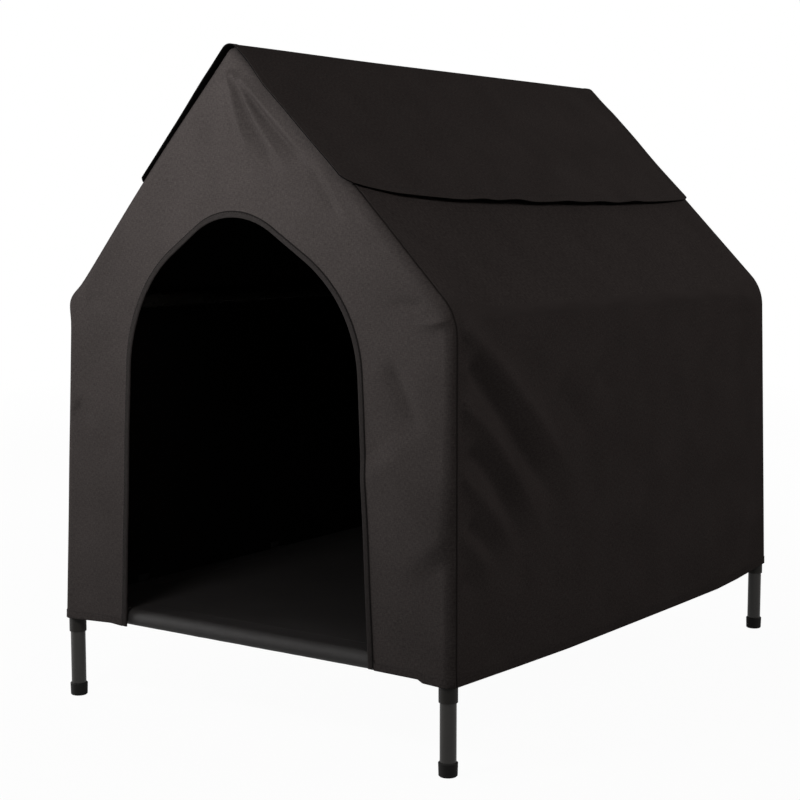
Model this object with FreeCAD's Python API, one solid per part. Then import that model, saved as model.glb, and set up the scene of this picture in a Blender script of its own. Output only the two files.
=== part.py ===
import FreeCAD, Part
import math
import os

# A raised dog bed with a tent roof. A plug-together tube frame on four legs carries a stretched
# sleeping mat and a fitted cloth cover. A loose cap over the ridge has a lifting flap on each slope.
# Millimetres. +Z is up, the doorway faces -Y, and the origin is on the floor under the middle of the
# bed's outer box, while the frame is laid out from the middle of its four legs.

Vector = FreeCAD.Vector

# Places of the frame's centre lines
leg_spacing_x = 667.0
leg_spacing_y = 977.0
eave_set_in_x = 8.5
eave_set_in_y = 12.5
ridge_set_in_y = 5.0
ridge_lean = 16.0
rail_height = 135.0
eave_height = 590.0
ridge_height = 929.0

# Tubes and the fittings that join them
tube_diameter = 22.0
tube_wall = 1.2
sleeve_wall = 1.5
slip_clearance = 0.2
sleeve_reach_below = 37.0
sleeve_reach_above = 42.0
leg_stop_drop = 2.0
post_bend_rise = 18.0
post_bend_radius = 150.0
stub_length = 45.0
rail_end_gap = 1.0
elbow_bend_radius = 60.0
elbow_arm_length = 42.0
ridge_hub_wall = 2.0
ridge_hub_length = 62.0
ridge_hub_dome = 12.0
ridge_socket_length = 45.0
socket_floor = 2.0

# Foot caps
foot_cap_height = 19.0
foot_cap_floor = 4.0
foot_cap_wall = 1.9
foot_cap_taper = 0.5
foot_cap_edge = 1.2
foot_cap_clearance = 0.1

# Cloth and how it lies on the frame
soft_gap = 0.3
cover_thickness = 1.0
hem_height = 120.0
mat_thickness = 1.0
mat_corner_cut = 46.0
mat_sleeve_tail = 30.0
mat_deck_lap = 40.0

# Hold-down tabs
tab_thickness = 0.8
tab_width = 25.0
tab_rise = 20.0
tab_wrap_angle = 125.0
front_tab_x = 280.0
rear_tab_x = 250.0
side_tab_y = 330.0

# Doorway, with its binding and the hems
door_foot_half_width = 219.3
door_shoulder_half_width = 200.5
door_shoulder_height = 606.0
door_shoulder_radius = 202.0
door_crown_height = 744.0
door_crown_radius = 119.0
door_arch_shift = 12.0
binding_width = 11.5
binding_thickness = 0.8
hem_width = 12.0
hem_thickness = 0.6

# Folds in the right wall that fan out from its front eave corner
fold_set_back = 14.0
fold_drop = 24.0
fold_first_angle = 26.0
fold_last_angle = 74.0
fold_reaches = (38.0, 140.0, 290.0, 440.0)
fold_edge_shares = (0.0, 0.16, 0.44, 0.64, 0.84, 1.0)
fold_depth_shares = (0.0, 0.10, 0.09, 0.0)

# Vents under the ridge cap
vent_drop = 52.0
vent_width = 150.0
vent_length = 760.0
vent_corner_radius = 24.0
mesh_lap = 14.0
mesh_thickness = 0.6

# Ridge cap
cap_thickness = 1.0
cap_front_overhang = 3.0
cap_rear_set_back = 8.0
cap_strip_drop = 14.0
cap_hinge_gap = 0.4
flap_length = 266.0
flap_front_rise = 29.0
flap_rear_rise = 19.0
flap_rise_power = 3
flap_standoff = 5.5
flap_wave_depth = 2.5
flap_steps_per_swing = 3
flap_crest_shares = (-1.0, -0.62, -0.4, -0.31, -0.23, -0.08, 0.06, 0.17, 0.28, 0.4, 0.53, 0.76, 1.0)

# How far cutting bodies run past what they cut
overrun = 5.0

eave_spacing_x = leg_spacing_x - 2 * eave_set_in_x
eave_spacing_y = leg_spacing_y - 2 * eave_set_in_y
ridge_spacing_y = leg_spacing_y - 2 * ridge_set_in_y

tube_radius = tube_diameter / 2
tube_bore_radius = tube_radius - tube_wall
sleeve_bore_radius = tube_radius + slip_clearance
sleeve_radius = sleeve_bore_radius + sleeve_wall
stub_radius = tube_bore_radius - slip_clearance
stub_bore_radius = stub_radius - sleeve_wall
ridge_hub_radius = sleeve_bore_radius + ridge_hub_wall

# Distances of the cloth layers from the centre line of the tube under them
mat_inside = tube_radius + soft_gap
mat_outside = mat_inside + mat_thickness
tab_inside = mat_outside + soft_gap
tab_outside = tab_inside + tab_thickness
cover_inside = tab_outside + soft_gap
cover_outside = cover_inside + cover_thickness
cap_inside = cover_outside + soft_gap
cap_outside = cap_inside + cap_thickness

LEFT, RIGHT = -1, 1
FRONT, REAR = -1, 1
SIDE_NAMES = {LEFT: "left", RIGHT: "right"}
END_NAMES = {FRONT: "front", REAR: "rear"}
CORNERS = [(side, end) for end in (FRONT, REAR) for side in (LEFT, RIGHT)]

nodes = {}


def corner_name(side, end):
    """Words for one corner of the bed, such as front_left."""
    return END_NAMES[end] + "_" + SIDE_NAMES[side]


def unit(vector):
    """The same direction with length one."""
    return Vector(vector).normalize()


def rod(start, end, radius):
    """A round bar between two points."""
    return Part.makeCylinder(radius, (end - start).Length, start, end - start)


def tube(start, end, outer_radius, inner_radius):
    """A straight tube between two points."""
    beyond = unit(end - start) * overrun
    return rod(start, end, outer_radius).cut(rod(start - beyond, end + beyond, inner_radius))


def rounded_path(points, radii):
    """Edges of straight runs through the points, each inner corner rounded to its radius."""
    edges = []
    start = points[0]
    for corner, following, radius in zip(points[1:-1], points[2:], radii):
        incoming = unit(corner - start)
        outgoing = unit(following - corner)
        half_turn = incoming.getAngle(outgoing) / 2
        inward = unit(outgoing - incoming)
        tangent = radius * math.tan(half_turn)
        arc_start = corner - incoming * tangent
        arc_end = corner + outgoing * tangent
        arc_middle = corner + inward * (radius / math.cos(half_turn) - radius)
        edges.append(Part.LineSegment(start, arc_start).toShape())
        edges.append(Part.Arc(arc_start, arc_middle, arc_end).toShape())
        start = arc_end
    edges.append(Part.LineSegment(start, points[-1]).toShape())
    return edges


def offset_path(points, distance):
    """Points of a flat path (across, up), moved to the left of its direction by the distance."""
    normals = []
    for start, end in zip(points, points[1:]):
        along = unit(end - start)
        normals.append(Vector(-along.y, along.x, 0))
    moved = [points[0] + normals[0] * distance]
    for point, before, after in zip(points[1:-1], normals, normals[1:]):
        moved.append(point + (before + after) * (distance / (1 + before.dot(after))))
    moved.append(points[-1] + normals[-1] * distance)
    return moved


def in_xz(point):
    """A flat point (across, up) set in the plane of the gables."""
    return Vector(point.x, 0, point.y)


def closed_face(edges):
    """A face inside edges that join into one loop, closed by a straight line if it is open."""
    wire = Part.Wire(edges)
    if not wire.isClosed():
        first = edges[0].valueAt(edges[0].FirstParameter)
        last = edges[-1].valueAt(edges[-1].LastParameter)
        wire = Part.Wire(edges + [Part.LineSegment(last, first).toShape()])
    return Part.Face(wire)


def polygon_face(points):
    """A face with straight edges through the points."""
    return Part.Face(Part.makePolygon(list(points) + [points[0]]))


def swept(path_points, bend_radius, radius):
    """A round bar along two straight runs joined by one bend."""
    edges = rounded_path(path_points, [bend_radius])
    spine = Part.Wire(edges)
    start = path_points[0]
    ring = Part.makeCircle(radius, start, path_points[1] - start)
    return spine.makePipeShell([Part.Wire(ring)], True, False)


def base_corner(side, end):
    """Where the axes of a leg and two base rails cross."""
    return Vector(side * leg_spacing_x / 2, end * leg_spacing_y / 2, rail_height)


def post_foot(side, end):
    """Where a post starts to lean towards its eave corner."""
    return base_corner(side, end) + Vector(0, 0, post_bend_rise)


def eave_corner(side, end):
    """Where the axes of a post and a rafter cross."""
    return Vector(side * eave_spacing_x / 2, end * eave_spacing_y / 2, eave_height)


def ridge_end(end):
    """Where the axes of two rafters and the ridge pole cross, a little towards the doorway."""
    return Vector(0, end * ridge_spacing_y / 2 - ridge_lean, ridge_height)


def post_direction(side, end):
    """Upwards along a post."""
    return unit(eave_corner(side, end) - post_foot(side, end))


def rafter_direction(side, end):
    """Upwards along a rafter."""
    return unit(ridge_end(end) - eave_corner(side, end))


def bend_tangent(incoming, outgoing, radius):
    """How far from its corner a bend of the given radius starts and ends."""
    return radius * math.tan(incoming.getAngle(outgoing) / 2)


def eave_rail_point(side, end):
    """The middle of an elbow's bend, where the eave rail meets it."""
    incoming = post_direction(side, end)
    outgoing = rafter_direction(side, end)
    half_turn = incoming.getAngle(outgoing) / 2
    inward = unit(outgoing - incoming)
    return eave_corner(side, end) + inward * (elbow_bend_radius / math.cos(half_turn) - elbow_bend_radius)


def stub(start, direction):
    """A hollow stub that a rail slips over, and the bar that hollows it."""
    reach = sleeve_radius + stub_length
    body = rod(start, start + direction * reach, stub_radius)
    hollow = rod(start + direction * sleeve_radius, start + direction * (reach + overrun), stub_bore_radius)
    return body, hollow


def foot_cap(side, end):
    """A moulded cup on the end of a leg, a little narrower at the floor."""
    centre = base_corner(side, end)
    bore = tube_radius + foot_cap_clearance
    top_radius = bore + foot_cap_wall
    foot_radius = top_radius - foot_cap_taper
    profile = [
        (0, 0),
        (foot_radius - foot_cap_edge, 0),
        (foot_radius, foot_cap_edge),
        (top_radius, foot_cap_height - foot_cap_edge),
        (top_radius - foot_cap_edge, foot_cap_height),
        (bore, foot_cap_height),
        (bore, foot_cap_floor),
        (0, foot_cap_floor),
    ]
    face = polygon_face([Vector(across, 0, up) for across, up in profile])
    cup = face.revolve(Vector(0, 0, 0), Vector(0, 0, 1), 360)
    cup.translate(Vector(centre.x, centre.y, 0))
    return cup


def leg(side, end):
    """A tube from the floor of its cap up to the stop in its corner connector."""
    centre = base_corner(side, end)
    foot = Vector(centre.x, centre.y, foot_cap_floor)
    return tube(foot, centre - Vector(0, 0, leg_stop_drop), tube_radius, tube_bore_radius)


def corner_connector(side, end):
    """A sleeve that takes a leg from below and a post from above, with stubs for two rails."""
    centre = base_corner(side, end)
    bend = post_foot(side, end)
    lean = post_direction(side, end)
    up = Vector(0, 0, 1)
    bottom = centre - up * sleeve_reach_below
    top = bend + lean * sleeve_reach_above
    post_seat = bend + lean * bend_tangent(up, lean, post_bend_radius)
    body = swept([bottom, bend, top], post_bend_radius, sleeve_radius)
    across_stub, across_hollow = stub(centre, Vector(-side, 0, 0))
    along_stub, along_hollow = stub(centre, Vector(0, -end, 0))
    leg_bore = rod(bottom - up * overrun, centre - up * leg_stop_drop, sleeve_bore_radius)
    post_bore = rod(post_seat, top + lean * overrun, sleeve_bore_radius)
    weight_hole = rod(bottom, post_seat + up * overrun, stub_bore_radius)
    body = body.fuse([across_stub, along_stub])
    return body.cut([leg_bore, post_bore, weight_hole, across_hollow, along_hollow])


def rail_between(start, end):
    """A rail whose ends stop short of the sleeves at both points."""
    along = unit(end - start)
    setback = along * (sleeve_radius + rail_end_gap)
    return tube(start + setback, end - setback, tube_radius, tube_bore_radius)


def post(side, end):
    """A tube from the seat in the corner connector up to the elbow's bend."""
    lean = post_direction(side, end)
    foot = post_foot(side, end) + lean * bend_tangent(Vector(0, 0, 1), lean, post_bend_radius)
    setback = bend_tangent(lean, rafter_direction(side, end), elbow_bend_radius)
    return tube(foot, eave_corner(side, end) - lean * setback, tube_radius, tube_bore_radius)


def eave_elbow(side, end):
    """A bend with a socket for the post, a socket for the rafter and a stub for the eave rail."""
    corner = eave_corner(side, end)
    incoming = post_direction(side, end)
    outgoing = rafter_direction(side, end)
    setback = bend_tangent(incoming, outgoing, elbow_bend_radius)
    reach = setback + elbow_arm_length
    path = [corner - incoming * reach, corner, corner + outgoing * reach]
    post_socket = rod(path[0] - incoming * overrun, corner - incoming * setback, sleeve_bore_radius)
    rafter_socket = rod(corner + outgoing * setback, path[2] + outgoing * overrun, sleeve_bore_radius)
    rail_stub, rail_hollow = stub(eave_rail_point(side, end), Vector(0, -end, 0))
    body = swept(path, elbow_bend_radius, sleeve_radius).fuse(rail_stub)
    return body.cut([post_socket, rafter_socket, rail_hollow])


def rafter(side, end):
    """A tube from the elbow's bend up to the floor of its socket at the ridge."""
    upwards = rafter_direction(side, end)
    setback = bend_tangent(post_direction(side, end), upwards, elbow_bend_radius)
    foot = eave_corner(side, end) + upwards * setback
    top = ridge_end(end) - upwards * (ridge_hub_radius + socket_floor)
    return tube(foot, top, tube_radius, tube_bore_radius)


def ridge_connector(end):
    """A hub for the ridge pole, domed at its outer end, with two sockets for the rafters under it."""
    centre = ridge_end(end)
    inwards = Vector(0, -end, 0)
    outer_face = centre - inwards * sleeve_radius
    inner_face = outer_face + inwards * ridge_hub_length
    body = rod(outer_face, inner_face, ridge_hub_radius)
    outer_rim = [edge for edge in body.Edges if (edge.CenterOfMass - outer_face).Length < soft_gap]
    body = body.makeFillet(ridge_hub_dome, outer_rim)
    bores = [rod(ridge_pole_seat(end), inner_face + inwards * overrun, sleeve_bore_radius)]
    for side in (LEFT, RIGHT):
        down = rafter_direction(side, end) * -1
        floor = centre + down * (ridge_hub_radius + socket_floor)
        mouth = floor + down * ridge_socket_length
        body = body.fuse(rod(centre, mouth, sleeve_radius))
        bores.append(rod(floor, mouth + down * overrun, sleeve_bore_radius))
    return body.cut(bores)


def ridge_pole_seat(end):
    """Where the ridge pole stops in its hub."""
    return ridge_end(end) + Vector(0, -end, 0) * (sleeve_radius + socket_floor)


def wall_line_foot(side, end):
    """The point of a post's line, carried on downwards, at the height of the hem."""
    lean = post_direction(side, end)
    foot = post_foot(side, end)
    return foot + lean * ((hem_height - foot.z) / lean.z)


def house_face(distance, drop):
    """The gable outline at a distance from the frame's centre lines, its foot lowered by drop."""
    corner = eave_corner(RIGHT, FRONT)
    foot = wall_line_foot(RIGHT, FRONT)
    lowered = foot - post_direction(RIGHT, FRONT) * drop
    centre_line = [
        Vector(-lowered.x, lowered.z, 0),
        Vector(-corner.x, corner.z, 0),
        Vector(0, ridge_height, 0),
        Vector(corner.x, corner.z, 0),
        Vector(lowered.x, lowered.z, 0),
    ]
    eave_radius = elbow_bend_radius + distance
    corners = [in_xz(point) for point in offset_path(centre_line, distance)]
    return closed_face(rounded_path(corners, [eave_radius, distance, eave_radius]))


def end_line(end, rise, drop):
    """The slope of an end wall seen from the side: (depth, height) points from ridge to hem."""
    corner = eave_corner(RIGHT, end)
    upwards = rafter_direction(RIGHT, end)
    top = corner + upwards * ((ridge_height + rise - eave_height) / upwards.z)
    foot = wall_line_foot(RIGHT, end) - post_direction(RIGHT, end) * drop
    return [Vector(end * point.y, point.z, 0) for point in (top, corner, foot)]


def across_whole_width(face):
    """A body with the given side view, wider than the bed."""
    half = leg_spacing_x / 2 + cap_outside + overrun
    face.translate(Vector(-half, 0, 0))
    return face.extrude(Vector(2 * half, 0, 0))


def end_sheet(end, near, far):
    """A sheet along an end wall, between two distances from the frame's centre lines."""
    line = end_line(end, cap_outside + overrun, 0)
    loop = offset_path(line, near) + offset_path(line, far)[::-1]
    return across_whole_width(polygon_face([Vector(0, end * point.x, point.y) for point in loop]))


def between_ends(front_distance, rear_distance):
    """The space between the two end walls at given distances from the frame's centre lines."""
    front = offset_path(end_line(FRONT, cap_outside + overrun, overrun), front_distance)
    rear = offset_path(end_line(REAR, cap_outside + overrun, overrun), rear_distance)
    loop = [Vector(0, point.x, point.y) for point in rear]
    loop += [Vector(0, -point.x, point.y) for point in front[::-1]]
    return across_whole_width(polygon_face(loop))


def along_whole_depth(face):
    """A body with the given front view, longer than the bed."""
    half = leg_spacing_y / 2 + ridge_lean + cap_outside + overrun
    face.translate(Vector(0, -half, 0))
    return face.extrude(Vector(0, 2 * half, 0))


def half_space(side):
    """A box that holds everything on one side of the ridge."""
    width = leg_spacing_x / 2 + cap_outside + overrun
    depth = leg_spacing_y + 2 * (ridge_lean + cap_outside + overrun)
    height = ridge_height + cap_outside + overrun
    low_x = 0 if side == RIGHT else -width
    return Part.makeBox(width, depth, height, Vector(low_x, -depth / 2, 0))


def slope_point(side, down, depth, out):
    """A point on a roof slope: down from the ridge axis, along it, and out from the rafter line."""
    fall = unit(Vector(eave_spacing_x / 2, 0, eave_height - ridge_height))
    return Vector(side * (fall.x * down - fall.z * out), depth, ridge_height + fall.z * down + fall.x * out)


def slope_plate(side, grow, near, far):
    """A plate with rounded corners over a vent, between two distances from the rafter line."""
    top = vent_drop - grow
    bottom = vent_drop + vent_width + grow
    half = vent_length / 2 + grow
    corners = [(top, 0), (top, half), (bottom, half), (bottom, -half), (top, -half), (top, 0)]
    points = [slope_point(side, down, depth, near) for down, depth in corners]
    face = closed_face(rounded_path(points, [vent_corner_radius + grow] * 4))
    return face.extrude(slope_point(side, top, 0, far) - slope_point(side, top, 0, near))


def fold_point(reach, angle, out):
    """A point on the right wall, by its distance and angle from where the folds start."""
    depth = fold_set_back - eave_spacing_y / 2 + reach * math.cos(math.radians(angle))
    height = eave_height - fold_drop - reach * math.sin(math.radians(angle))
    corner = offset_path([Vector(eave_spacing_x / 2, eave_height, 0),
                          Vector(wall_line_foot(RIGHT, FRONT).x, hem_height, 0)], cover_outside)
    share = (height - corner[0].y) / (corner[1].y - corner[0].y)
    return Vector(corner[0].x + (corner[1].x - corner[0].x) * share + out, depth, height)


def wavy_strip(start, end, out, edge_shares, depth_share, thickness):
    """A thin closed strip whose long sides swing out and in by turns between the edge shares."""
    chord = end - start
    sides = []
    for set_back in (0, thickness):
        edges = []
        swing = 1
        for first, last in zip(edge_shares, edge_shares[1:]):
            first_point = start + chord * first - out * set_back
            last_point = start + chord * last - out * set_back
            sagitta = chord.Length * (last - first) * depth_share * swing
            if depth_share:
                middle = (first_point + last_point) / 2 + out * sagitta
                edges.append(Part.Arc(first_point, middle, last_point).toShape())
            else:
                edges.append(Part.LineSegment(first_point, last_point).toShape())
            swing = -swing
        sides.append(edges)
    far_end = Part.LineSegment(end, end - out * thickness).toShape()
    near_end = Part.LineSegment(start - out * thickness, start).toShape()
    return Part.Wire(sides[0] + [far_end] + sides[1][::-1] + [near_end])


def fold_fan():
    """The folds of the right wall, and the flat piece of wall that they take the place of."""
    out = Vector(1, 0, 0)
    strips = []
    for reach, depth_share in zip(fold_reaches, fold_depth_shares):
        start = fold_point(reach, fold_first_angle, 0)
        end = fold_point(reach, fold_last_angle, 0)
        strips.append(wavy_strip(start, end, out, fold_edge_shares, depth_share, cover_thickness))
    folds = Part.makeLoft(strips, True, True)
    outline = [
        fold_point(fold_reaches[0], fold_first_angle, overrun),
        fold_point(fold_reaches[0], fold_last_angle, overrun),
        fold_point(fold_reaches[-1], fold_last_angle, overrun),
        fold_point(fold_reaches[-1], fold_first_angle, overrun),
    ]
    window = polygon_face(outline).extrude(out * -(2 * overrun + cover_thickness))
    return folds, window


def cover_side(side):
    """Wall and roof of one side in one cloth, with the vent cut out of the roof."""
    shell = along_whole_depth(house_face(cover_outside, 0))
    shell = shell.cut(along_whole_depth(house_face(cover_inside, overrun)))
    shell = shell.common(between_ends(cover_inside, cover_inside)).common(half_space(side))
    shell = shell.cut(slope_plate(side, 0, cover_inside - overrun, cover_outside + overrun))
    if side == RIGHT:
        folds, window = fold_fan()
        shell = shell.cut(window).fuse(folds)
    return shell


def doorway(grow):
    """A body through the front wall with the doorway's outline, widened by grow."""
    foot_level = hem_height - overrun
    line = [
        Vector(-door_foot_half_width, foot_level, 0),
        Vector(-door_shoulder_half_width - door_arch_shift, door_shoulder_height, 0),
        Vector(-door_arch_shift, door_crown_height, 0),
        Vector(door_shoulder_half_width - door_arch_shift, door_shoulder_height, 0),
        Vector(door_foot_half_width, foot_level, 0),
    ]
    points = [in_xz(point) for point in offset_path(line, grow)]
    shoulder = door_shoulder_radius + grow
    face = closed_face(rounded_path(points, [shoulder, door_crown_radius + grow, shoulder]))
    return along_whole_depth(face)


def cover_end(end):
    """An end wall of the cover up to the gable's edge."""
    return end_sheet(end, cover_inside, cover_outside).common(along_whole_depth(house_face(cover_outside, 0)))


def door_binding():
    """The tape folded over the doorway's edge: a face on the front and a lip through the edge."""
    lip_edge = -soft_gap
    inner_edge = lip_edge - binding_thickness
    front_level = cover_outside + binding_thickness
    face = end_sheet(FRONT, cover_outside, front_level).common(doorway(binding_width))
    lip = end_sheet(FRONT, cover_inside, front_level).common(doorway(lip_edge))
    return face.fuse(lip).cut(doorway(inner_edge))


def hem_zone():
    """A flat box that holds the hem's height over the whole bed."""
    width = leg_spacing_x + 2 * (cap_outside + overrun)
    depth = leg_spacing_y + 2 * (cap_outside + overrun)
    low = Vector(-width / 2, -depth / 2, hem_height - overrun)
    return Part.makeBox(width, depth, hem_width + overrun, low)


def side_hem(side):
    """The turned hem along the foot of a side wall."""
    band = along_whole_depth(house_face(cover_outside + hem_thickness, 0))
    band = band.cut(along_whole_depth(house_face(cover_outside, overrun)))
    ends = between_ends(cover_outside, cover_outside)
    return band.common(hem_zone()).common(ends).common(half_space(side))


def end_hem(end):
    """The turned hem along the foot of an end wall."""
    band = end_sheet(end, cover_outside, cover_outside + hem_thickness)
    return band.common(hem_zone()).common(along_whole_depth(house_face(cover_outside, overrun)))


def mat_sleeve(length):
    """A sewn sleeve round a rail along Y at the origin, its deck edge towards +X."""
    reach = math.hypot(mat_sleeve_tail, mat_inside)
    leave = math.atan2(mat_inside, mat_sleeve_tail) - math.acos(mat_outside / reach)
    inner_meet = mat_inside * (1 + math.sin(-leave)) / math.cos(leave)

    def loop(radius, inner_points):
        """Over the rail, round its far side and back under it, then along the given points."""
        def on_ring(angle):
            """A point of the ring round the rail."""
            return Vector(radius * math.cos(angle), 0, radius * math.sin(angle))

        ends = [math.pi / 2, math.pi, math.pi * 3 / 2, math.pi * 2 + leave]
        edges = []
        for first, last in zip(ends, ends[1:]):
            edges.append(Part.Arc(on_ring(first), on_ring((first + last) / 2), on_ring(last)).toShape())
        points = [on_ring(ends[-1])] + inner_points + [on_ring(ends[0])]
        edges += [Part.LineSegment(a, b).toShape() for a, b in zip(points, points[1:])]
        return Part.Wire(edges)

    outer = loop(mat_outside, [
        Vector(mat_sleeve_tail, 0, mat_inside),
        Vector(mat_deck_lap, 0, mat_inside),
        Vector(mat_deck_lap, 0, mat_outside),
    ])
    inner = loop(mat_inside, [Vector(inner_meet, 0, mat_inside)])
    body = Part.Face(outer).extrude(Vector(0, length, 0))
    body = body.cut(Part.Face(inner).extrude(Vector(0, length, 0)))
    body.translate(Vector(0, -length / 2, 0))
    return body


def sleeping_mat():
    """The stretched deck with a sleeve round each base rail and its corners cut out."""
    half_x = leg_spacing_x / 2 - mat_deck_lap
    half_y = leg_spacing_y / 2 - mat_deck_lap
    low = Vector(-half_x, -half_y, rail_height + mat_inside)
    body = Part.makeBox(2 * half_x, 2 * half_y, mat_thickness, low)
    side_length = leg_spacing_y - 2 * mat_corner_cut
    end_length = leg_spacing_x - 2 * mat_corner_cut
    sleeves = []
    for turn, reach, length in ((0, leg_spacing_x, side_length), (90, leg_spacing_y, end_length),
                                (180, leg_spacing_x, side_length), (270, leg_spacing_y, end_length)):
        sleeve = mat_sleeve(length)
        sleeve.translate(Vector(-reach / 2, 0, rail_height))
        sleeve.rotate(Vector(0, 0, 0), Vector(0, 0, 1), turn)
        sleeves.append(sleeve)
    return body.fuse(sleeves).removeSplitter()


def hold_down_tab(place, outwards):
    """A hook-and-loop tab from the cover's wall, under the rail and its mat sleeve."""
    along = Vector(-outwards.y, outwards.x, 0)

    def at(radius, angle, rise):
        """A point round the rail, by angle below the outward side."""
        turn = math.radians(angle)
        return place + outwards * (radius * math.cos(turn)) + Vector(0, 0, rise - radius * math.sin(turn))

    def hook(radius):
        """The tab's line at one radius: down the wall and round under the rail."""
        half = tab_wrap_angle / 2
        return [
            Part.LineSegment(at(radius, 0, tab_rise), at(radius, 0, 0)).toShape(),
            Part.Arc(at(radius, 0, 0), at(radius, half, 0), at(radius, tab_wrap_angle, 0)).toShape(),
        ]

    end_line_edge = Part.LineSegment(at(tab_inside, tab_wrap_angle, 0), at(tab_outside, tab_wrap_angle, 0))
    top_edge = Part.LineSegment(at(tab_outside, 0, tab_rise), at(tab_inside, 0, tab_rise))
    edges = hook(tab_inside) + [end_line_edge.toShape()] + hook(tab_outside)[::-1] + [top_edge.toShape()]
    face = Part.Face(Part.Wire(edges))
    face.translate(along * (-tab_width / 2))
    return face.extrude(along * tab_width)


def ridge_saddle(distance, drop):
    """A body under the ridge, out to a distance from its axis, that reaches down both slopes by drop."""
    feet = [slope_point(side, drop, 0, 0) for side in (LEFT, RIGHT)]
    line = [Vector(foot.x, foot.z, 0) for foot in feet]
    line.insert(1, Vector(0, ridge_height, 0))
    points = [in_xz(point) for point in offset_path(line, distance)]
    return along_whole_depth(closed_face(rounded_path(points, [distance])))


def ridge_strip():
    """The saddle of the ridge cap that is sewn down along the ridge."""
    saddle = ridge_saddle(cap_outside, cap_strip_drop).cut(ridge_saddle(cap_inside, cap_strip_drop + overrun))
    return saddle.common(between_ends(cap_end(FRONT), cap_end(REAR)))


def cap_end(end):
    """How far past the frame's centre lines the ridge cap reaches at an end."""
    return cover_outside + (cap_front_overhang if end == FRONT else -cap_rear_set_back)


def cap_place(share, height):
    """The depth of a place along the ridge cap, by its share of the way from the middle to an end."""
    end = FRONT if share < 0 else REAR
    top, eave, _ = offset_path(end_line(end, cap_outside, 0), cap_end(end))
    reach = eave.x + (top.x - eave.x) * (height - eave.y) / (top.y - eave.y)
    return share * reach


def flap_stations():
    """Places along a flap, as shares of its half length, each with its swing from crest to trough."""
    stations = [(flap_crest_shares[0], 1.0)]
    sign = 1
    for start, end in zip(flap_crest_shares, flap_crest_shares[1:]):
        for step in range(1, flap_steps_per_swing + 1):
            part_way = step / flap_steps_per_swing
            stations.append((start + (end - start) * part_way, sign * math.cos(math.pi * part_way)))
        sign = -sign
    return stations


def flap(side):
    """A cap flap: straight along its hinge line, wavy and a little bowed along its lower hem."""
    middle = (cap_inside + cap_outside) / 2
    hinge = slope_point(side, cap_strip_drop + cap_hinge_gap + cap_thickness / 2, 0, middle)
    fall = unit(slope_point(side, flap_length, 0, 0) - slope_point(side, 0, 0, 0))
    out = unit(slope_point(side, 0, 0, flap_length) - slope_point(side, 0, 0, 0))
    half_wall = out * (cap_thickness / 2)
    sections = []
    for share, swing in flap_stations():
        top = hinge + Vector(0, cap_place(share, hinge.z), 0)
        corner_rise = flap_front_rise if share < 0 else flap_rear_rise
        low = hinge + fall * (flap_length - corner_rise * abs(share) ** flap_rise_power)
        low += out * (flap_standoff + flap_wave_depth * swing)
        low.y = cap_place(share, low.z)
        loop = [top + half_wall, top - half_wall, low - half_wall, low + half_wall, top + half_wall]
        sections.append(Part.makePolygon(loop))
    return Part.makeLoft(sections, True, True)


for side, end in CORNERS:
    corner = corner_name(side, end)
    nodes["foot_cap_" + corner] = foot_cap(side, end)
    nodes["leg_" + corner] = leg(side, end)
    nodes["corner_connector_" + corner] = corner_connector(side, end)
    nodes["post_" + corner] = post(side, end)
    nodes["eave_elbow_" + corner] = eave_elbow(side, end)
    nodes["rafter_" + corner] = rafter(side, end)

for end in (FRONT, REAR):
    nodes[END_NAMES[end] + "_base_rail"] = rail_between(base_corner(LEFT, end), base_corner(RIGHT, end))
    nodes[END_NAMES[end] + "_ridge_connector"] = ridge_connector(end)

for side in (LEFT, RIGHT):
    name = SIDE_NAMES[side]
    nodes[name + "_base_rail"] = rail_between(base_corner(side, FRONT), base_corner(side, REAR))
    nodes[name + "_eave_rail"] = rail_between(eave_rail_point(side, FRONT), eave_rail_point(side, REAR))
    nodes["cover_" + name + "_side"] = cover_side(side)
    nodes[name + "_side_hem"] = side_hem(side)
    nodes[name + "_vent_mesh"] = slope_plate(side, mesh_lap, cover_inside - mesh_thickness, cover_inside)
    nodes[name + "_ridge_flap"] = flap(side)
    side_rail_middle = Vector(side * leg_spacing_x / 2, 0, rail_height)
    nodes[name + "_hold_down_tabs"] = Part.Compound([
        hold_down_tab(side_rail_middle + Vector(0, shift * side_tab_y, 0), Vector(side, 0, 0))
        for shift in (-1, 0, 1)
    ])

nodes["ridge_pole"] = tube(ridge_pole_seat(FRONT), ridge_pole_seat(REAR), tube_radius, tube_bore_radius)
nodes["sleeping_mat"] = sleeping_mat()
nodes["cover_front_panel"] = cover_end(FRONT).cut(doorway(0))
nodes["cover_rear_panel"] = cover_end(REAR)
nodes["door_binding"] = door_binding()
nodes["front_hem"] = end_hem(FRONT).cut(doorway(binding_width))
nodes["rear_hem"] = end_hem(REAR)
nodes["ridge_strip"] = ridge_strip()

front_rail_middle = Vector(0, -leg_spacing_y / 2, rail_height)
nodes["front_hold_down_tabs"] = Part.Compound([
    hold_down_tab(front_rail_middle + Vector(side * front_tab_x, 0, 0), Vector(0, FRONT, 0))
    for side in (LEFT, RIGHT)
])
rear_rail_middle = Vector(0, leg_spacing_y / 2, rail_height)
nodes["rear_hold_down_tabs"] = Part.Compound([
    hold_down_tab(rear_rail_middle + Vector(shift * rear_tab_x, 0, 0), Vector(0, REAR, 0))
    for shift in (-1, 0, 1)
])

outer_box = Part.Compound(list(nodes.values())).BoundBox
to_origin = Vector(0, -outer_box.Center.y, 0)

os.makedirs("parts", exist_ok=True)
for name, shape in nodes.items():
    shape.translate(to_origin)
    shape.exportStep(os.path.join("parts", name + ".step"))
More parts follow.
